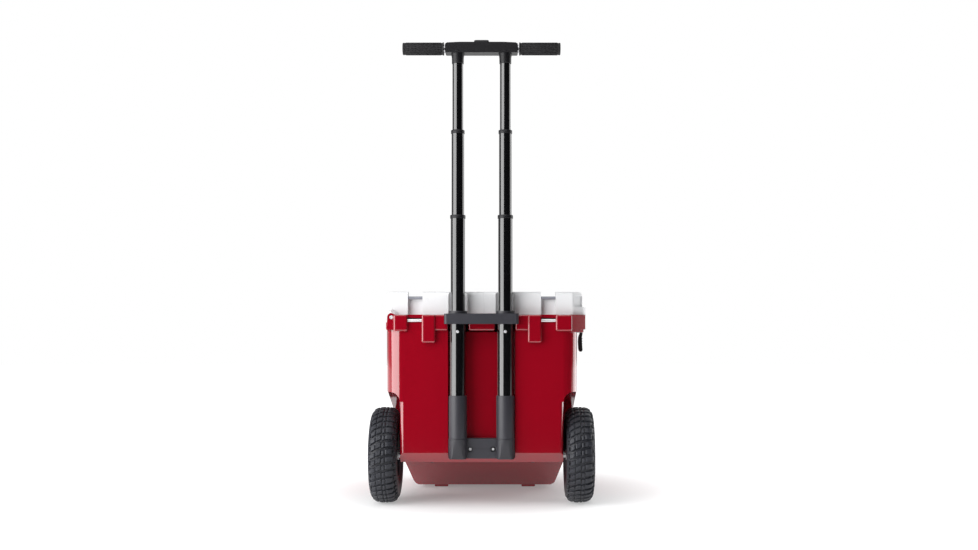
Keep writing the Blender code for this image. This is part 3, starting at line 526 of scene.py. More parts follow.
def cavity():
    """The food space, from its floor to above the rim."""
    loops = []
    for z, half_x, near, far, radius in (
        (0.055, 0.158, -0.232, 0.243, 0.020),
        (0.058, 0.162, -0.2335, 0.245, 0.023),
        (0.067, 0.166, -0.235, 0.247, 0.026),
        (0.470, 0.181, -0.240, 0.255, 0.030),
    ):
        loops.append([(x, y, z) for x, y in rounded(-half_x, half_x, near, far, radius, 8)])
    return loft(loops)


def floor_step():
    """The raised floor of the food space above the axle, with its slopes."""
    outline = [(-0.300, -0.050), (0.120, -0.050), (0.080, 0.045), (-0.020, 0.150), (-0.300, 0.150)]
    return prism(outline, "X", -0.260, 0.260)


def feet():
    return [box((x - 0.018, 0.072, 0.0), (x + 0.018, 0.255, 0.014), 0.003) for x in (-0.115, 0.115)]


def build_hull():
    room = carved("room", cavity(), removed=[floor_step()])
    wells = [carved("well", wheel_well(side), removed=[well_fillet(side)]) for side in (-1, 1)]
    obj = carved(
        "tub_hull",
        hull(),
        removed=[
            *wells,
            well_corner(-1),
            well_corner(1),
            under_side(),
            handle_recess(),
            box((-0.210, AXLE_Y - 0.011, 0.050), (0.210, AXLE_Y + 0.011, 0.1265)),
            room,
            rod((0, 0, DRAIN_Z), "Y", 0.230, 0.320, 0.0152, 32),
            hinge_cylinder(0.2553, HINGE_CLEAR_R, 48),
        ],
    )
    tub_piece(obj, 0.0035, 34, 4)
    tub_piece(raw_object("tub_feet", joined(feet())))


def rim_outline():
    """The rim from above, with a slanting corner at each end of both sides."""
    return [
        (-0.2050, BODY_NEAR), (0.2095, BODY_NEAR), (0.2430, -0.2650), (0.2430, 0.2780),
        (0.2095, 0.3120), (-0.2050, 0.3120), (-0.2235, 0.2950), (-0.2235, -0.2830),
    ]


def rim_blocks():
    """The blocks and hanging lugs of the rim at the near end."""
    blocks = []
    for side in (-1, 1):
        corner_end = 0.204 if side < 0 else 0.2095
        for inner, outer, low, front in (
            (0.1715, corner_end, 0.4095, -0.3085),
            (0.0775, 0.1100, 0.4110, -0.3080),
            (0.1070, 0.1385, 0.3827, -0.3125),
        ):
            x = sorted((side * inner, side * outer))
            blocks.append(box((x[0], front, low), (x[1], -0.2900, RIM_TOP - 0.0002)))
    blocks.append(box((-0.0310, -0.3020, 0.4110), (0.0310, -0.2830, RIM_TOP - 0.0002)))
    return blocks


def carry_lugs():
    """The two lugs at the far end that hold the carry handle."""
    lugs = []
    for side in (-1, 1):
        x = sorted((side * 0.0795, side * 0.104))
        lugs.append(prism(rounded(0.290, 0.3270, 0.416, RIM_TOP - 0.0003, 0.010, 8), "X", *x))
    return lugs


def knuckle(low, high):
    """A hinge knuckle of the tub, between two of the knuckle ends, with its web to the rim."""
    outline = [(HINGE_X + 0.0071, HINGE_Z + 0.0071), (HINGE_X, HINGE_Z + KNUCKLE_R)]
    for i in range(1, 13):
        angle = math.radians(90 + 90 * i / 12)
        outline.append((HINGE_X + KNUCKLE_R * math.cos(angle), HINGE_Z + KNUCKLE_R * math.sin(angle)))
    outline += [(-0.2205, 0.412), (-0.1880, 0.412), (-0.1880, HINGE_Z - 0.004)]
    outline.append((HINGE_X + 0.0100, HINGE_Z))
    return prism(outline, "Y", KNUCKLE_ENDS[low] + 0.0003, KNUCKLE_ENDS[high] - 0.0003)


def build_rim():
    room = carved("room", cavity())
    block = prism(rounded(-0.031, 0.031, 0.411, 0.480, 0.0035, 4), "Y", -0.370, -0.270)
    recess = carved("recess", handle_recess(), removed=[block])
    cuts = [room, recess, box((-0.0792, 0.3030, 0.395), (0.0792, 0.340, 0.460))]
    for side in (-1, 1):
        x = sorted((side * 0.1385, side * 0.1715))
        cuts.append(box((x[0], -0.320, 0.4137), (x[1], -0.2870, 0.4405)))
    cuts += [*latch_gaps(), hinge_cylinder(0.2553, HINGE_CLEAR_R, 48)]
    edge = [(-0.235, 0.4475), (-0.2093, 0.4520), (-0.2060, 0.4484), (-0.2060, 0.4300)]
    edge.append((-0.235, 0.4300))
    for end in (-1, 1):
        cuts.append(prism(edge, "Y", *sorted((end * 0.2553, end * 0.340))))
    band = prism(rim_outline(), "Z", RIM_BOTTOM, RIM_TOP)
    rim = carved("tub_rim", band, added=carry_lugs(), removed=cuts)
    tub_piece(rim, 0.0022, 34, 4)
    for i, block in enumerate(rim_blocks()):
        tub_piece(raw_object(f"tub_block_{i}", block), 0.0042, 34, 5)
    lip_room = carved("room", cavity())
    lip_cuts = [lip_room, handle_recess(), box((-0.300, -0.400, 0.400), (0.300, -0.2955, 0.450))]
    lip_cuts += latch_gaps()
    lip_band = prism(grown(rim_outline(), -0.004), "Z", RIM_LIP, RIM_BOTTOM + 0.004)
    lip = carved("tub_lip", lip_band, removed=lip_cuts)
    tub_piece(lip, 0.0015, 34, 3)
    for i, (low, high) in enumerate(((0, 1), (2, 3), (4, 5))):
        bore = hinge_cylinder(0.330, HINGE_BORE_R, 32)
        obj = carved(f"tub_knuckle_{i}", knuckle(low, high), removed=[bore])
        tub_piece(obj, 0.0012, 40, 3)


# ---- lid


def lid_piece(obj, bevel=0.0, angle=32, segments=3):
    finish_piece(obj, WHITE, "lid", ["lid_shell"], bevel, angle, segments)


def lid_outline(right=0.2370, inset=0.0):
    """The lid from above, inset from its edge, with its corners rounded."""
    corners = [
        (-0.2220, LID_NEAR), (0.2139, LID_NEAR), (right, -0.2560), (right, 0.2780),
        (0.2139, LID_FAR), (-0.2220, LID_FAR),
    ]
    if inset:
        corners = grown(corners, -inset)
    outline = []
    for i, radius in enumerate((0.012, 0.005, 0.012, 0.012, 0.008, 0.012)):
        here = Vector(corners[i])
        before = (Vector(corners[i - 1]) - here).normalized()
        after = (Vector(corners[(i + 1) % len(corners)]) - here).normalized()
        start = here + before * radius
        end = here + after * radius
        for j in range(7):
            t = j / 6
            outline.append(tuple(start * (1 - t) ** 2 + here * 2 * t * (1 - t) + end * t**2))
    return outline


def lid_block():
    """The lid's solid body, rounding in towards its top."""
    levels = (
        (LID_BOTTOM, 0.0015), (LID_BOTTOM + 0.0012, 0.0), (0.4925, 0.0), (0.4960, 0.0006),
        (0.4990, 0.0022), (0.5010, 0.0048), (LID_TOP, 0.0085),
    )
    loops = [[(x, y, z) for x, y in lid_outline(inset=inset)] for z, inset in levels]
    return loft(loops)


def corner_pocket():
    """The shallow recess in the lid's slanting corner beside the near latch."""
    start = Vector((0.2139, LID_NEAR))
    end = Vector((0.2445, -0.2560))
    along = (end - start).normalized()
    out = Vector((along.y, -along.x))
    corners = []
    for share, shift in ((0.10, 0.020), (0.84, 0.020), (0.84, -0.0085), (0.10, -0.0050)):
        corners.append(tuple(start + (end - start) * share + out * shift))
    return prism(corners, "Z", 0.4672, 0.4925)


def plug_outline(grow=0.0):
    """The outline of the panel under the lid that sits inside the tub's mouth."""
    return rounded(-0.175 - grow, 0.175 + grow, -0.2340 - grow, 0.2490 + grow, 0.024 + grow, 8)


def lid_knuckle(low, high):
    outline = []
    for i in range(21):
        angle = math.radians(126 + 234 * i / 20)
        outline.append((HINGE_X + KNUCKLE_R * math.cos(angle), HINGE_Z + KNUCKLE_R * math.sin(angle)))
    outline += [(-0.1890, 0.4540), (-0.1890, 0.4640), (HINGE_X - 0.0059, 0.4640)]
    return prism(outline, "Y", KNUCKLE_ENDS[low] + 0.0003, KNUCKLE_ENDS[high] - 0.0003)


def build_lid():
    lip = prism(lid_outline(0.2445), "Z", LID_BOTTOM, 0.4665)
    cuts = [
        hinge_cylinder(0.330, HINGE_CLEAR_R, 48),
        box((-0.260, -0.330, 0.430), (HINGE_X, 0.330, HINGE_Z + HINGE_CLEAR_R)),
        prism(rounded(-0.196, 0.212, -0.2570, 0.2800, 0.016, 8), "Z", DECK_Z, 0.520),
        corner_pocket(),
    ]
    for side in (-1, 1):
        cuts.append(rod((side * TUBE_X, TUBE_Y, 0), "Z", 0.440, 0.520, 0.0300, 72))
        x = sorted((side * 0.1385, side * 0.1725))
        cuts.append(box((x[0], -0.300, 0.440), (x[1], -0.2715, 0.520)))
        cuts.append(box((x[0], -0.290, DECK_Z - 0.0001), (x[1], -0.2500, 0.520)))
    for y in LATCH_Y:
        cuts.append(box((0.2175, y - 0.0145, 0.440), (0.260, y + 0.0145, 0.4950)))
    lid = carved("lid_cover", lid_block(), added=[lip], removed=cuts)
    lid_piece(lid, 0.0022, 34, 4)
    plug = prism(plug_outline(), "Z", 0.436, LID_BOTTOM + 0.002, 0.0020)
    hole = rod((0, 0.190, 0), "Z", 0.430, 0.4550, 0.0120, 40)
    obj = carved("lid_plug_panel", plug, removed=[hole])
    lid_piece(obj)
    for i, (low, high) in enumerate(((1, 2), (3, 4))):
        bore = hinge_cylinder(0.330, HINGE_BORE_R, 32)
        obj = carved(f"lid_knuckle_{i}", lid_knuckle(low, high), removed=[bore])
        lid_piece(obj, 0.0008, 40, 3)
    ring = carved(
        "lid_seal",
        prism(plug_outline(0.0040), "Z", 0.4400, 0.4455, 0.0012),
        removed=[prism(plug_outline(0.0003), "Z", 0.430, 0.450)],
    )
    finish_piece(ring, LATCH_RUBBER, "lid", ["lid_gasket"])
    for side, hand in SIDES:
        x = sorted((side * 0.1343, side * 0.1767))
        bar = rod((0, -0.2785, 0.4875), "X", x[0], x[1], 0.0035, 32, 0.0006)
        piece(f"lid_bar_{hand}", bar, SATIN, "lid", [f"lid_tie_bar_{hand}"])


# ---- latches


def build_latches():
    outer = [(0.2310, 0.4800), (0.2425, 0.4620), (0.2425, 0.4060), (0.2408, 0.3950), (0.2412, 0.3800)]
    tip = [(0.2424, 0.3660), (0.2418, 0.3628), (0.2398, 0.3608), (0.2370, 0.3606), (0.2345, 0.3625)]
    inner = [(0.2332, 0.3680), (0.2322, 0.3850), (0.2330, 0.3960), (0.2365, 0.4060), (0.2365, 0.4600)]
    inner.append((0.2230, 0.4720))
    half_width = 0.013
    rib_x = 0.2405
    for y, end in zip(LATCH_Y, ("near", "far")):
        body, node = f"{end}_latch", f"latch_{end}"
        strap = prism(outer + tip + inner, "Y", y - half_width, y + half_width)
        eye = rod((LATCH_X, y, LATCH_Z), "Y", -half_width, half_width, 0.0065, 40)
        ribs = []
        for i in range(5):
            z = 0.3925 - i * 0.0062
            low = (rib_x - 0.0020, y - 0.0100, z - 0.0014)
            high = (rib_x + 0.0016, y + 0.0100, z + 0.0014)
            ribs.append(box(low, high, 0.0005))
        bore = rod((LATCH_X, y, LATCH_Z), "Y", -0.020, 0.020, 0.0033, 24)
        obj = carved(f"latch_strap_{end}", eye, added=[strap], removed=[bore])
        finish_piece(obj, LATCH_RUBBER, body, [node], 0.0012, 30, 3)
        piece(f"latch_ribs_{end}", joined(ribs), LATCH_RUBBER, body, [node])
        pin = rod((LATCH_X, y, LATCH_Z), "Y", -0.0190, 0.0190, 0.0030, 24, 0.0004)
        piece(f"latch_axis_{end}", pin, STEEL, "lid", [f"latch_pin_{end}"])


# ---- wheels

# (distance from the tyre's middle plane, radius) across one half of the tread
TREAD_LINE = (
    (0.0, 0.1143), (0.0108, 0.1137), (0.0192, 0.1120), (0.0250, 0.1093), (0.0297, 0.1048),
    (0.0323, 0.0985), (0.0335, 0.0910), (0.0338, 0.0840),
)
TREAD_PITCHES = 40
WINDOWS = 5


def tread_at(s):
    """(x, radius, outward direction) at a distance along the tread's cross line from its middle."""
    side = -1 if s < 0 else 1
    left = abs(s)
    for (x0, r0), (x1, r1) in zip(TREAD_LINE, TREAD_LINE[1:]):
        length = math.hypot(x1 - x0, r1 - r0)
        if left <= length or (x1, r1) == TREAD_LINE[-1]:
            t = min(1.0, left / length)
            slope = ((r0 - r1) / length, (x1 - x0) / length)
            return side * (x0 + (x1 - x0) * t), r0 + (r1 - r0) * t, (side * slope[0], slope[1])
        left -= length


def tread_block(s_low, s_high, angle, start, slope, width, depth, steps):
    """One block across the tread, its line offset round the tyre by start and by slope with distance."""
    rows = []
    profile = ((-1.0, depth), (-0.96, 0.0026), (-0.86, 0.0010), (-0.70, 0.0))
    profile += tuple((-share, drop) for share, drop in reversed(profile))
    for i in range(steps + 1):
        s = s_low + (s_high - s_low) * i / steps
        end = i in (0, steps)
        x, r, out = tread_at(s)
        middle = angle + (start + slope * abs(s)) / TYRE_R
        row = []
        for share, drop in profile:
            low = drop + (0.0012 if end and drop < depth else 0.0)
            turn = middle + share * width / 2 / TYRE_R
            radius = r - low * out[1]
            row.append((x - low * out[0], radius * math.cos(turn), radius * math.sin(turn)))
        rows.append(row)
    count = len(profile)
    faces = []
    for i in range(steps):
        for j in range(count - 1):
            a = i * count + j
            faces.append((a, a + 1, a + count + 1, a + count))
        faces.append((i * count + count - 1, i * count, i * count + count, i * count + 2 * count - 1))
    faces.append(tuple(range(count)))
    faces.append(tuple(reversed(range(steps * count, steps * count + count))))
    return [point for row in rows for point in row], faces


def tread():
    """Four staggered blocks in each pitch across the tread, and a short lug on each shoulder."""
    blocks = []
    for i in range(TREAD_PITCHES):
        angle = 2 * math.pi * i / TREAD_PITCHES
        step = 0.0045 * (i % 2)
        for low, high, start, slope, width, depth, steps in (
            (-0.0010, -0.0135, 0.0, 0.42, 0.0134, 0.0050, 6),
            (-0.0148, -0.0265 - step, 0.0008, 0.42, 0.0128, 0.0050, 6),
            (0.0010, 0.0075, 0.0036, -0.30, 0.0128, 0.0046, 3),
            (0.0088, 0.0310 - step, 0.0018, -0.14, 0.0134, 0.0050, 6),
        ):
            blocks.append(tread_block(low, high, angle, start, slope, width, depth, steps))
        for side in (-1, 1):
            low = 0.0325 if (i % 2) == (side > 0) else 0.0345
            shift = 0.0110 if side < 0 else -0.0030
            blocks.append(tread_block(side * low, side * 0.0425, angle, shift, 0.0, 0.0112, 0.0030, 3))
    return joined(blocks)


def carcass():
    """The tyre's section under its blocks, hollow inside, as (radius, height) pairs."""
    outer = []
    for i in range(29):
        s = -0.0440 + 0.088 * i / 28
        x, r, out = tread_at(s)
        drop = 0.0042 if abs(s) < 0.033 else 0.0042 * max(0.0, (0.0440 - abs(s)) / 0.011)
        outer.append((r - drop * out[1], x - drop * out[0]))
    left = [(0.0560, -0.0270), (0.0572, -0.0292), (0.0620, -0.0308), (0.0628, -0.0314), (0.0680, -0.0324)]
    left += [(0.0688, -0.0329), (0.0760, -0.0334)]
    right = [(r, -x) for r, x in reversed(left)]
    inner = [(0.0560, 0.0215), (0.0700, 0.0265), (0.0850, 0.0270), (0.0980, 0.0210), (0.1040, 0.0)]
    inner += [(r, -x) for r, x in reversed(inner[:-1])]
    return left + outer + right + inner


def rim_section():
    """The moulded rim from hub to hub: web, barrel and a flange at each side."""
    return [
        (0.0128, -0.0245), (0.0210, -0.0245), (0.0222, -0.0233), (0.0240, -0.0095),
        (0.0255, -0.0080), (0.0465, -0.0080), (0.0480, -0.0095), (0.0498, -0.0265),
        (0.0512, -0.0285), (0.0535, -0.0296), (0.0557, -0.0288), (0.0557, 0.0288),
        (0.0535, 0.0296), (0.0512, 0.0285), (0.0498, 0.0265), (0.0480, 0.0075),
        (0.0465, 0.0060), (0.0255, 0.0080), (0.0240, 0.0095), (0.0222, 0.0228),
        (0.0210, 0.0240), (0.0128, 0.0240),
    ]


def cap_section():
    """The push-on cap over the axle's end."""
    return [
        (0.0078, 0.2560), (0.0146, 0.2560), (0.0150, 0.2564), (0.0150, 0.2576),
        (0.0144, 0.2582), (0.0118, 0.2590), (0.0112, 0.2622), (0.0100, 0.2636),
        (0.0070, 0.2643), (0.0020, 0.2644), (0.0020, 0.2618), (0.0078, 0.2618),
    ]


def build_wheels():
    axle = (AXLE_Y, AXLE_Z)
    axle_line = (0, AXLE_Y, AXLE_Z)
    first_window = 0.3
    for side, hand in SIDES:
        body = f"{hand}_wheel"
        centre = (side * WHEEL_X, AXLE_Y, AXLE_Z)
        base = turned(carcass(), centre, "X", 128, ring=True)
        vertices, faces = tread()
        moved = [(x + centre[0], y + centre[1], z + centre[2]) for x, y, z in vertices]
        tyre = joined([base, (moved, faces)])
        piece(f"tyre_body_{hand}", tyre, TYRE_RUBBER, body, [f"tyre_{hand}"], angle=28)

        windows = []
        for y, z in around(WINDOWS, 0.036, axle, first_window):
            windows.append(rod((centre[0], y, z), "X", -0.040, 0.040, 0.0088, 40))
        rim = carved(f"rim_{hand}", turned(rim_section(), centre, "X", 96, ring=True), removed=windows)
        finish_piece(rim, GREY, body, [f"wheel_rim_{hand}"], 0.0009, 40, 3)

        low, high = sorted((side * 0.0060, side * 0.0105))
        bolt = [(0.0032, low), (0.0036, low + 0.0005), (0.0036, high - 0.0006), (0.0028, high)]
        bolts = []
        for y, z in around(WINDOWS, 0.038, axle, first_window + math.pi / WINDOWS):
            bolts.append(turned(bolt, (centre[0], y, z), "X", 6))
        piece(f"rim_bolts_{hand}", joined(bolts), STEEL, body, [])

        bush = pipe(centre, "X", -0.0247, 0.0243, 0.0125, 0.0078, 48)
        piece(f"bush_{hand}", bush, SATIN, body, [f"wheel_bush_{hand}"])
        low, high = sorted((side * 0.2000, side * 0.2055))
        washer = pipe(axle_line, "X", low, high, 0.0125, 0.0078, 48, 0.0008)
        piece(f"washer_{hand}", washer, STEEL, "cooler", [f"axle_washer_{hand}"])
        cap = turned([(r, side * x) for r, x in cap_section()], axle_line, "X", 64, ring=True)
        piece(f"hub_cap_{hand}", cap, GREY, "cooler", [f"axle_cap_{hand}"])
    bar = rod(axle_line, "X", -0.2613, 0.2613, 0.0075, 48, 0.0006)
    piece("axle_bar", bar, ROD_STEEL, "cooler", ["axle"])


# ---- pull handle


def screw(name, centre, profile, node):
    """A screw's head and shank, with a round recess in the head."""
    piece(name, turned(profile, centre, "Y", 48), STEEL, "cooler", [node])


def stop_ring(radius, high):
    """The raised ring at the top of a sliding tube."""
    return [
        (radius - 0.0003, high - 0.0080), (radius + 0.0009, high - 0.0080),
        (radius + 0.0013, high - 0.0074), (radius + 0.0013, high - 0.0008),
        (radius + 0.0009, high - 0.0001), (radius - 0.0003, high - 0.0001),
    ]


def build_tubes():
    wall = 0.0016
    collar_section = [
        (0.0126, 1.0285), (0.0131, 1.0283), (0.0137, 1.0290), (0.0139, 1.0420),
        (0.0150, 1.0490), (0.0168, 1.0565), (0.0126, 1.0575),
    ]
    sleeve_section = [
        (0.0188, 0.1609), (0.0206, 0.1609), (0.0210, 0.1614), (0.0210, 0.2586),
        (0.0206, 0.2600), (0.0199, 0.2606), (0.0188, 0.2606),
    ]
    tube_head = [
        (0.0010, -0.3224), (0.0014, -0.3240), (0.0026, -0.3240), (0.0033, -0.3234),
        (0.0035, -0.3217), (0.0015, -0.3217), (0.0015, -0.3202),
    ]
    base_head = [
        (0.0011, -0.2948), (0.0014, -0.2965), (0.0028, -0.2965), (0.0034, -0.2960),
        (0.0034, -0.2933), (0.0018, -0.2933), (0.0018, -0.2790),
    ]
    for side, hand in SIDES:
        centre = (side * TUBE_X, TUBE_Y, 0)
        fixed = pipe(centre, "Z", 0.1253, 0.4550, FIXED_R, FIXED_R - wall)
        piece(f"tube_fixed_{hand}", fixed, TUBE_COAT, "cooler", [f"fixed_tube_{hand}"])
        for stage, body in enumerate(("lower_stage", "middle_stage", "pull_bar")):
            radius, low, high = STAGE_R[stage], STAGE_BOTTOM[stage], STAGE_TOP[stage]
            node = f"stage{stage + 1}_tube_{hand}"
            tube = pipe(centre, "Z", low, high, radius, radius - wall)
            piece(f"tube_stage{stage + 1}_{hand}", tube, TUBE_COAT, body, [node])
            if body != "pull_bar":
                ring = turned(stop_ring(radius, high), centre, "Z", 96, ring=True)
                piece(f"stop_ring{stage + 1}_{hand}", ring, HOUSING, body, [node])
        collar = turned(collar_section, centre, "Z", 72, ring=True)
        piece(f"collar_{hand}", collar, HOUSING, "pull_bar", [f"tube_collar_{hand}"])
        sleeve = turned(sleeve_section, centre, "Z", 96, ring=True)
        piece(f"sleeve_{hand}", sleeve, GREY, "cooler", [f"socket_sleeve_{hand}"])
        screw(f"tube_bolt_{hand}", (side * TUBE_X, 0, 0.4085), tube_head, f"tube_screw_{hand}")
        screw(f"base_bolt_{hand}", (side * SCREW_X, 0, SCREW_Z), base_head, f"base_screw_{hand}")


def build_base():
    """The foot of the handle: one plate with a cup round each fixed tube, leaning in at the bottom."""
    plate = box((-0.036, -0.3000, 0.1140), (0.036, -0.2816, 0.1606))
    cups, cuts = [], []
    lean = [(-0.3400, 0.1480), (-0.3252, 0.1378), (-0.3190, 0.1140), (-0.3190, 0.1000)]
    lean.append((-0.3400, 0.1000))
    inner_tilt = [(0.0300, 0.1050), (0.0385, 0.1050), (0.0300, 0.1300)]
    outer_tilt = [(0.0800, 0.1050), (0.0715, 0.1050), (0.0800, 0.1300)]
    for side in (-1, 1):
        x = sorted((side * 0.0335, side * 0.0765))
        cups.append(rod((side * TUBE_X, TUBE_Y, 0), "Z", 0.1140, 0.1606, 0.0217, 72))
        cups.append(box((x[0], -0.3060, 0.1140), (x[1], -0.2816, 0.1606)))
        cuts.append(rod((side * TUBE_X, TUBE_Y, 0), "Z", 0.1330, 0.180, 0.0188, 64))
        cuts.append(rod((side * SCREW_X, 0, SCREW_Z), "Y", -0.310, -0.2930, 0.0062, 32))
        cuts.append(prism(lean, "X", x[0] - 0.002, x[1] + 0.002))
        cuts.append(prism([(side * px, z) for px, z in inner_tilt], "Y", -0.3400, -0.3005))
        cuts.append(prism([(side * px, z) for px, z in outer_tilt], "Y", -0.3400, -0.2700))
    base = carved("handle_foot", plate, added=cups, removed=cuts)
    finish_piece(base, GREY, "cooler", ["handle_base"], 0.0013, 34, 3)


def build_clamp():
    half = [(0.0335, -0.3005), (0.0335, -0.2920), (0.0768, -0.2920), (0.0768, -0.3085), (0.0860, -0.3085)]
    half += [(0.0860, -0.3190), (0.0852, -0.3228), (0.0830, -0.3255), (0.0795, -0.3270)]
    outline = half + [(-x, y) for x, y in reversed(half)]
    plate = prism(outline, "Z", 0.4260, 0.4500)
    collars = []
    cuts = [
        box((-0.0330, -0.3000, 0.420), (0.0330, -0.2700, 0.470)),
        box((-0.100, -0.2920, 0.420), (0.100, -0.2700, 0.470)),
    ]
    for side in (-1, 1):
        centre = (side * TUBE_X, TUBE_Y, 0)
        collars.append(rod(centre, "Z", 0.4300, 0.4560, 0.0222, 72))
        cuts.append(rod(centre, "Z", 0.400, 0.480, 0.0189, 72))
    clamp = carved("tube_clamp", plate, added=collars, removed=cuts)
    finish_piece(clamp, GREY, "cooler", ["handle_clamp"], 0.0013, 34, 3)


def grip_section():
    """A grip with a flange at its inner end, 27 ribs and a closed outer end with a small hole."""
    section = [(0.0098, 0.0870), (0.0142, 0.0870), (0.0148, 0.0876)]
    section += [(0.0148, 0.0896), (0.0142, 0.0904), (0.0136, 0.0908)]
    ribs = 27
    first, last = 0.0915, 0.1770
    pitch = (last - first) / ribs
    for i in range(ribs):
        low = first + i * pitch
        section += [(0.0132, low), (0.0138, low + pitch * 0.28), (0.0138, low + pitch * 0.72)]
    section += [(0.0132, last), (0.0138, 0.1778), (0.0139, 0.1812), (0.0132, 0.1823), (0.0120, 0.1825)]
    section += [(0.0030, 0.1825), (0.0030, 0.1803), (0.0098, 0.1803)]
    return section


def build_grip_bar():
    half = [(0.0815, 1.0516), (0.0835, 1.0536), (0.0842, 1.0570), (0.0842, 1.0690)]
    half += [(0.0832, 1.0722), (0.0790, 1.0745), (0.0500, 1.0758)]
    outline = half + [(-x, z) for x, z in reversed(half)]
    bar = prism(outline, "Y", TUBE_Y - 0.0160, TUBE_Y + 0.0160)
    cuts = [box((-0.0176, TUBE_Y - 0.0098, 1.0580), (0.0176, TUBE_Y + 0.0098, 1.090))]
    for side in (-1, 1):
        cuts.append(rod((0, TUBE_Y, BAR_Z), "X", *sorted((side * 0.0280, side * 0.0900)), 0.0098, 48))
    housing = carved("grip_body", bar, removed=cuts)
    finish_piece(housing, HOUSING, "pull_bar", ["grip_housing"], 0.0030, 34, 5)
    outline = rounded(-0.0172, 0.0172, TUBE_Y - 0.0094, TUBE_Y + 0.0094, 0.0045, 8)
    button = prism(outline, "Z", 1.0680, 1.0822, 0.0022)
    dots = []
    for x in (-0.009, -0.003, 0.003, 0.009):
        for y in (-0.004, 0.004):
            dots.append(rod((x, TUBE_Y + y, 0), "Z", 1.0818, 1.0825, 0.0009, 12))
    button = joined([button, *dots])
    piece("push_button", button, GRIP_RUBBER, "button", ["release_button"])
    for side, hand in SIDES:
        low, high = sorted((side * 0.0285, side * 0.1800))
        bar = rod((0, TUBE_Y, BAR_Z), "X", low, high, 0.0095, 64, 0.0005)
        piece(f"half_bar_{hand}", bar, BAR_METAL, "pull_bar", [f"handlebar_{hand}"])
        section = [(r, side * x) for r, x in grip_section()]
        grip = turned(section, (0, TUBE_Y, BAR_Z), "X", 72, ring=True)
        low, high = sorted((side * 0.0935, side * 0.1755))
        flutes = []
        for y, z in around(20, 0.01395, (TUBE_Y, BAR_Z)):
            flutes.append(rod((0, y, z), "X", low, high, 0.00055, 8, 0.0003))
        grip = joined([grip, *flutes])
        node = f"grip_{hand}"
        piece(f"grip_sleeve_{hand}", grip, GRIP_RUBBER, "pull_bar", [node], angle=50)


# ---- small parts


def lift_loop():
    """The wire of the carry handle: two outward ends in the lugs, two arms and a straight hand hold."""
    half_x, corner, wire = 0.0715, 0.012, 0.0045
    path = [(0.0985, 0.0), (half_x + 0.006, 0.0), (half_x + 0.0030, -0.0008), (half_x + 0.0010, -0.0028)]
    path += [(half_x, -0.006), (half_x, corner - CARRY_DROP)]
    for i in range(1, 8):
        angle = math.radians(90 * i / 8)
        x = half_x - corner + corner * math.cos(angle)
        path.append((x, corner - CARRY_DROP - corner * math.sin(angle)))
    path += [(half_x - corner, -CARRY_DROP)]
    path += [(-x, z) for x, z in reversed(path)]
    loops = []
    for i, point in enumerate(path):
        here = Vector(point)
        before = here - Vector(path[i - 1]) if i else Vector(path[1]) - here
        after = Vector(path[i + 1]) - here if i + 1 < len(path) else before
        along = (before.normalized() + after.normalized()).normalized()
        out = Vector((along.y, -along.x))
        loop = []
        for j in range(32):
            turn = 2 * math.pi * j / 32
            shift = out * (wire * math.cos(turn))
            loop.append((here.x + shift.x, CARRY_Y + wire * math.sin(turn), CARRY_Z + here.y + shift.y))
        loops.append(loop)
    return loft(loops)


def build_drain():
    centre = (0, 0, DRAIN_Z)
    fitting = [
        (0.0110, 0.2440), (0.0150, 0.2440), (0.0150, 0.2925), (0.0206, 0.2925),
        (0.0210, 0.2930), (0.0210, 0.2950), (0.0204, 0.2960), (0.0195, 0.2962),
        (0.0110, 0.2962),
    ]
    ring = turned(fitting, centre, "Y", 64, ring=True)
    piece("drain_ring", ring, GREY, "cooler", ["drain_fitting"])
    plug = [
        (0.0088, 0.2560), (0.0106, 0.2580), (0.0106, 0.2965), (0.0160, 0.2965),
        (0.0165, 0.2970), (0.0165, 0.3026), (0.0158, 0.3040), (0.0146, 0.3045),
    ]
    tab = box((-0.0030, 0.3035, DRAIN_Z - 0.0130), (0.0030, 0.3110, DRAIN_Z + 0.0130), 0.0012)
    knurls = []
    for x, z in around(24, 0.0163, (0.0, DRAIN_Z)):
        knurls.append(rod((x, 0, z), "Y", 0.2972, 0.3028, 0.0009, 8, 0.0003))
    knob = joined([turned(plug, centre, "Y", 64), tab, *knurls])
    piece("drain_knob", knob, LATCH_RUBBER, "plug", ["drain_plug"])


def repaint(name, material):
    """Gives a CAD node that is left as it is its detailed material."""
    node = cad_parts[name]
    node.data.materials.clear()
    node.data.materials.append(material)


def build_small_parts():
    hinge = rod((HINGE_X, 0, HINGE_Z), "Y", -0.3006, 0.2940, 0.0042, 40, 0.0008)
    piece("hinge_bar", hinge, ROD_STEEL, "cooler", ["hinge_rod"])
    for side, hand in SIDES:
        low, high = sorted((side * 0.1343, side * 0.1757))
        tie_rod = rod((0, -0.2985, 0.4345), "X", low, high, 0.00375, 40, 0.0006)
        piece(f"tie_rod_{hand}", tie_rod, ROD_STEEL, "cooler", [f"body_tie_rod_{hand}"])
        repaint(f"axle_strap_{hand}", GREY)
        repaint(f"strap_screw_{hand}_front", GREY)
        repaint(f"strap_screw_{hand}_rear", GREY)
    piece("lift_loop", lift_loop(), TUBE_COAT, "carry_bar", ["carry_handle"])
    repaint("tub_foam", FOAM)
    repaint("lid_foam", FOAM)
    repaint("lid_plug", WHITE)
    repaint("button_spring", STEEL)


# ---- studio


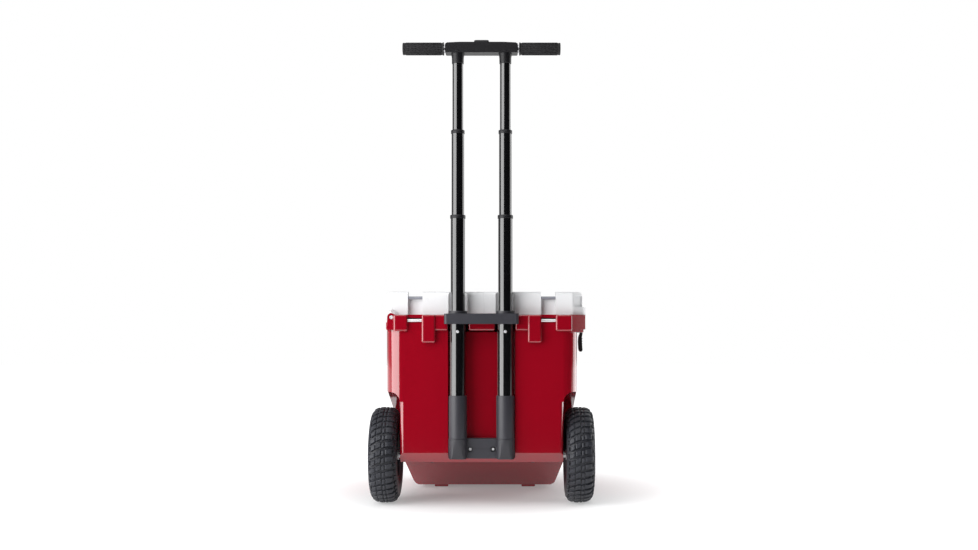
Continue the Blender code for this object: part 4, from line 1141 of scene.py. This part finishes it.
def build_floor():
    """A pale floor that glows more with distance from the cooler, so it fades into the backdrop."""
    floor = raw_object("studio_floor", box((-12, -1.15, -0.02), (12, 14, 0.0)))
    n = Nodes("floor_paint")
    tone = n.ramp(n.noise(0.6, 2.0), [(0.3, (0.60, 0.60, 0.605)), (0.7, (0.62, 0.62, 0.625))])
    material = n.finish(
        tone,
        n.scaled(n.noise(3.0), 0.85, 0.95),
        n.bump(n.noise(400.0), 0.02, 0.0001),
        Emission_Color=(1.0, 1.0, 1.0, 1.0),
        Specular_IOR_Level=0.2,
    )
    distance = n.add("ShaderNodeVectorMath", operation="LENGTH")
    n.link(n.coordinates, distance.inputs[0])
    glow = n.add("ShaderNodeMapRange", interpolation_type="SMOOTHSTEP")
    for key, value in (("From Min", 0.10), ("From Max", 0.85), ("To Min", 0.22), ("To Max", 1.0)):
        glow.inputs[key].default_value = value
    n.link(distance.outputs["Value"], glow.inputs["Value"])
    n.link(glow.outputs["Result"], n.shader.inputs["Emission Strength"])
    floor.data.materials.append(material)


def build_backdrop():
    """A backdrop that is seen as white, and lights the cooler from its far side only."""
    world = bpy.data.worlds.new("studio")
    bpy.context.scene.world = world
    world.use_nodes = True
    tree = world.node_tree
    add, link = tree.nodes.new, tree.links.new
    background = tree.nodes["Background"]
    coordinates = add("ShaderNodeTexCoord")
    separate = add("ShaderNodeSeparateXYZ")
    ramp = add("ShaderNodeValToRGB")
    ramp.color_ramp.elements[0].position = 0.42
    ramp.color_ramp.elements[0].color = (0.02, 0.02, 0.021, 1.0)
    ramp.color_ramp.elements[1].position = 0.80
    ramp.color_ramp.elements[1].color = (0.42, 0.42, 0.42, 1.0)
    shift = add("ShaderNodeMath")
    shift.operation = "MULTIPLY_ADD"
    shift.inputs[1].default_value = 0.5
    shift.inputs[2].default_value = 0.5
    path = add("ShaderNodeLightPath")
    mix = add("ShaderNodeMix")
    mix.data_type = "RGBA"
    link(coordinates.outputs["Generated"], separate.inputs[0])
    link(separate.outputs["Y"], shift.inputs[0])
    link(shift.outputs[0], ramp.inputs["Fac"])
    link(path.outputs["Is Camera Ray"], mix.inputs[0])
    link(ramp.outputs["Color"], mix.inputs[6])
    mix.inputs[7].default_value = (1.0, 1.0, 1.0, 1.0)
    link(mix.outputs[2], background.inputs["Color"])
    background.inputs["Strength"].default_value = 1.0


def build_lights():
    target = Vector((0.0, -0.20, 0.45))
    for name, azimuth, elevation, distance, width, height, radiance in (
        ("left_softbox", -56, 10, 2.3, 2.60, 2.5, 4.8),
        ("right_softbox", 114, 8, 2.3, 1.60, 2.5, 2.2),
        ("front_softbox", -4, 46, 2.6, 2.00, 0.9, 2.6),
        ("top_softbox", -10, 80, 2.4, 2.2, 2.2, 1.15),
        ("back_softbox", 160, 35, 2.8, 2.0, 1.6, 0.7),
    ):
        light = bpy.data.lights.new(name, "AREA")
        light.shape = "RECTANGLE"
        light.size = width
        light.size_y = height
        light.energy = radiance * math.pi * width * height
        obj = bpy.data.objects.new(name, light)
        a, e = math.radians(azimuth), math.radians(elevation)
        away = Vector((math.sin(a) * math.cos(e), -math.cos(a) * math.cos(e), math.sin(e)))
        obj.location = target + away * distance
        obj.rotation_euler = (-away).to_track_quat("-Z", "Y").to_euler()
        bpy.context.scene.collection.objects.link(obj)


def build_camera():
    data = bpy.data.cameras.new("camera")
    data.sensor_width = 36.0
    data.lens = 40.9
    data.shift_x = -0.0189
    data.shift_y = 0.0665
    data.clip_start = 0.05
    data.clip_end = 100.0
    camera = bpy.data.objects.new("camera", data)
    camera.location = (0.06, -2.877, 0.389)
    camera.rotation_euler = (math.radians(90), 0, 0)
    bpy.context.scene.collection.objects.link(camera)
    bpy.context.scene.camera = camera
    bpy.context.scene.view_settings.view_transform = "Standard"


build_hull()
build_rim()
build_lid()
build_latches()
build_wheels()
build_tubes()
build_base()
build_clamp()
build_grip_bar()
build_small_parts()
build_drain()
build_floor()
build_backdrop()
build_lights()
build_camera()
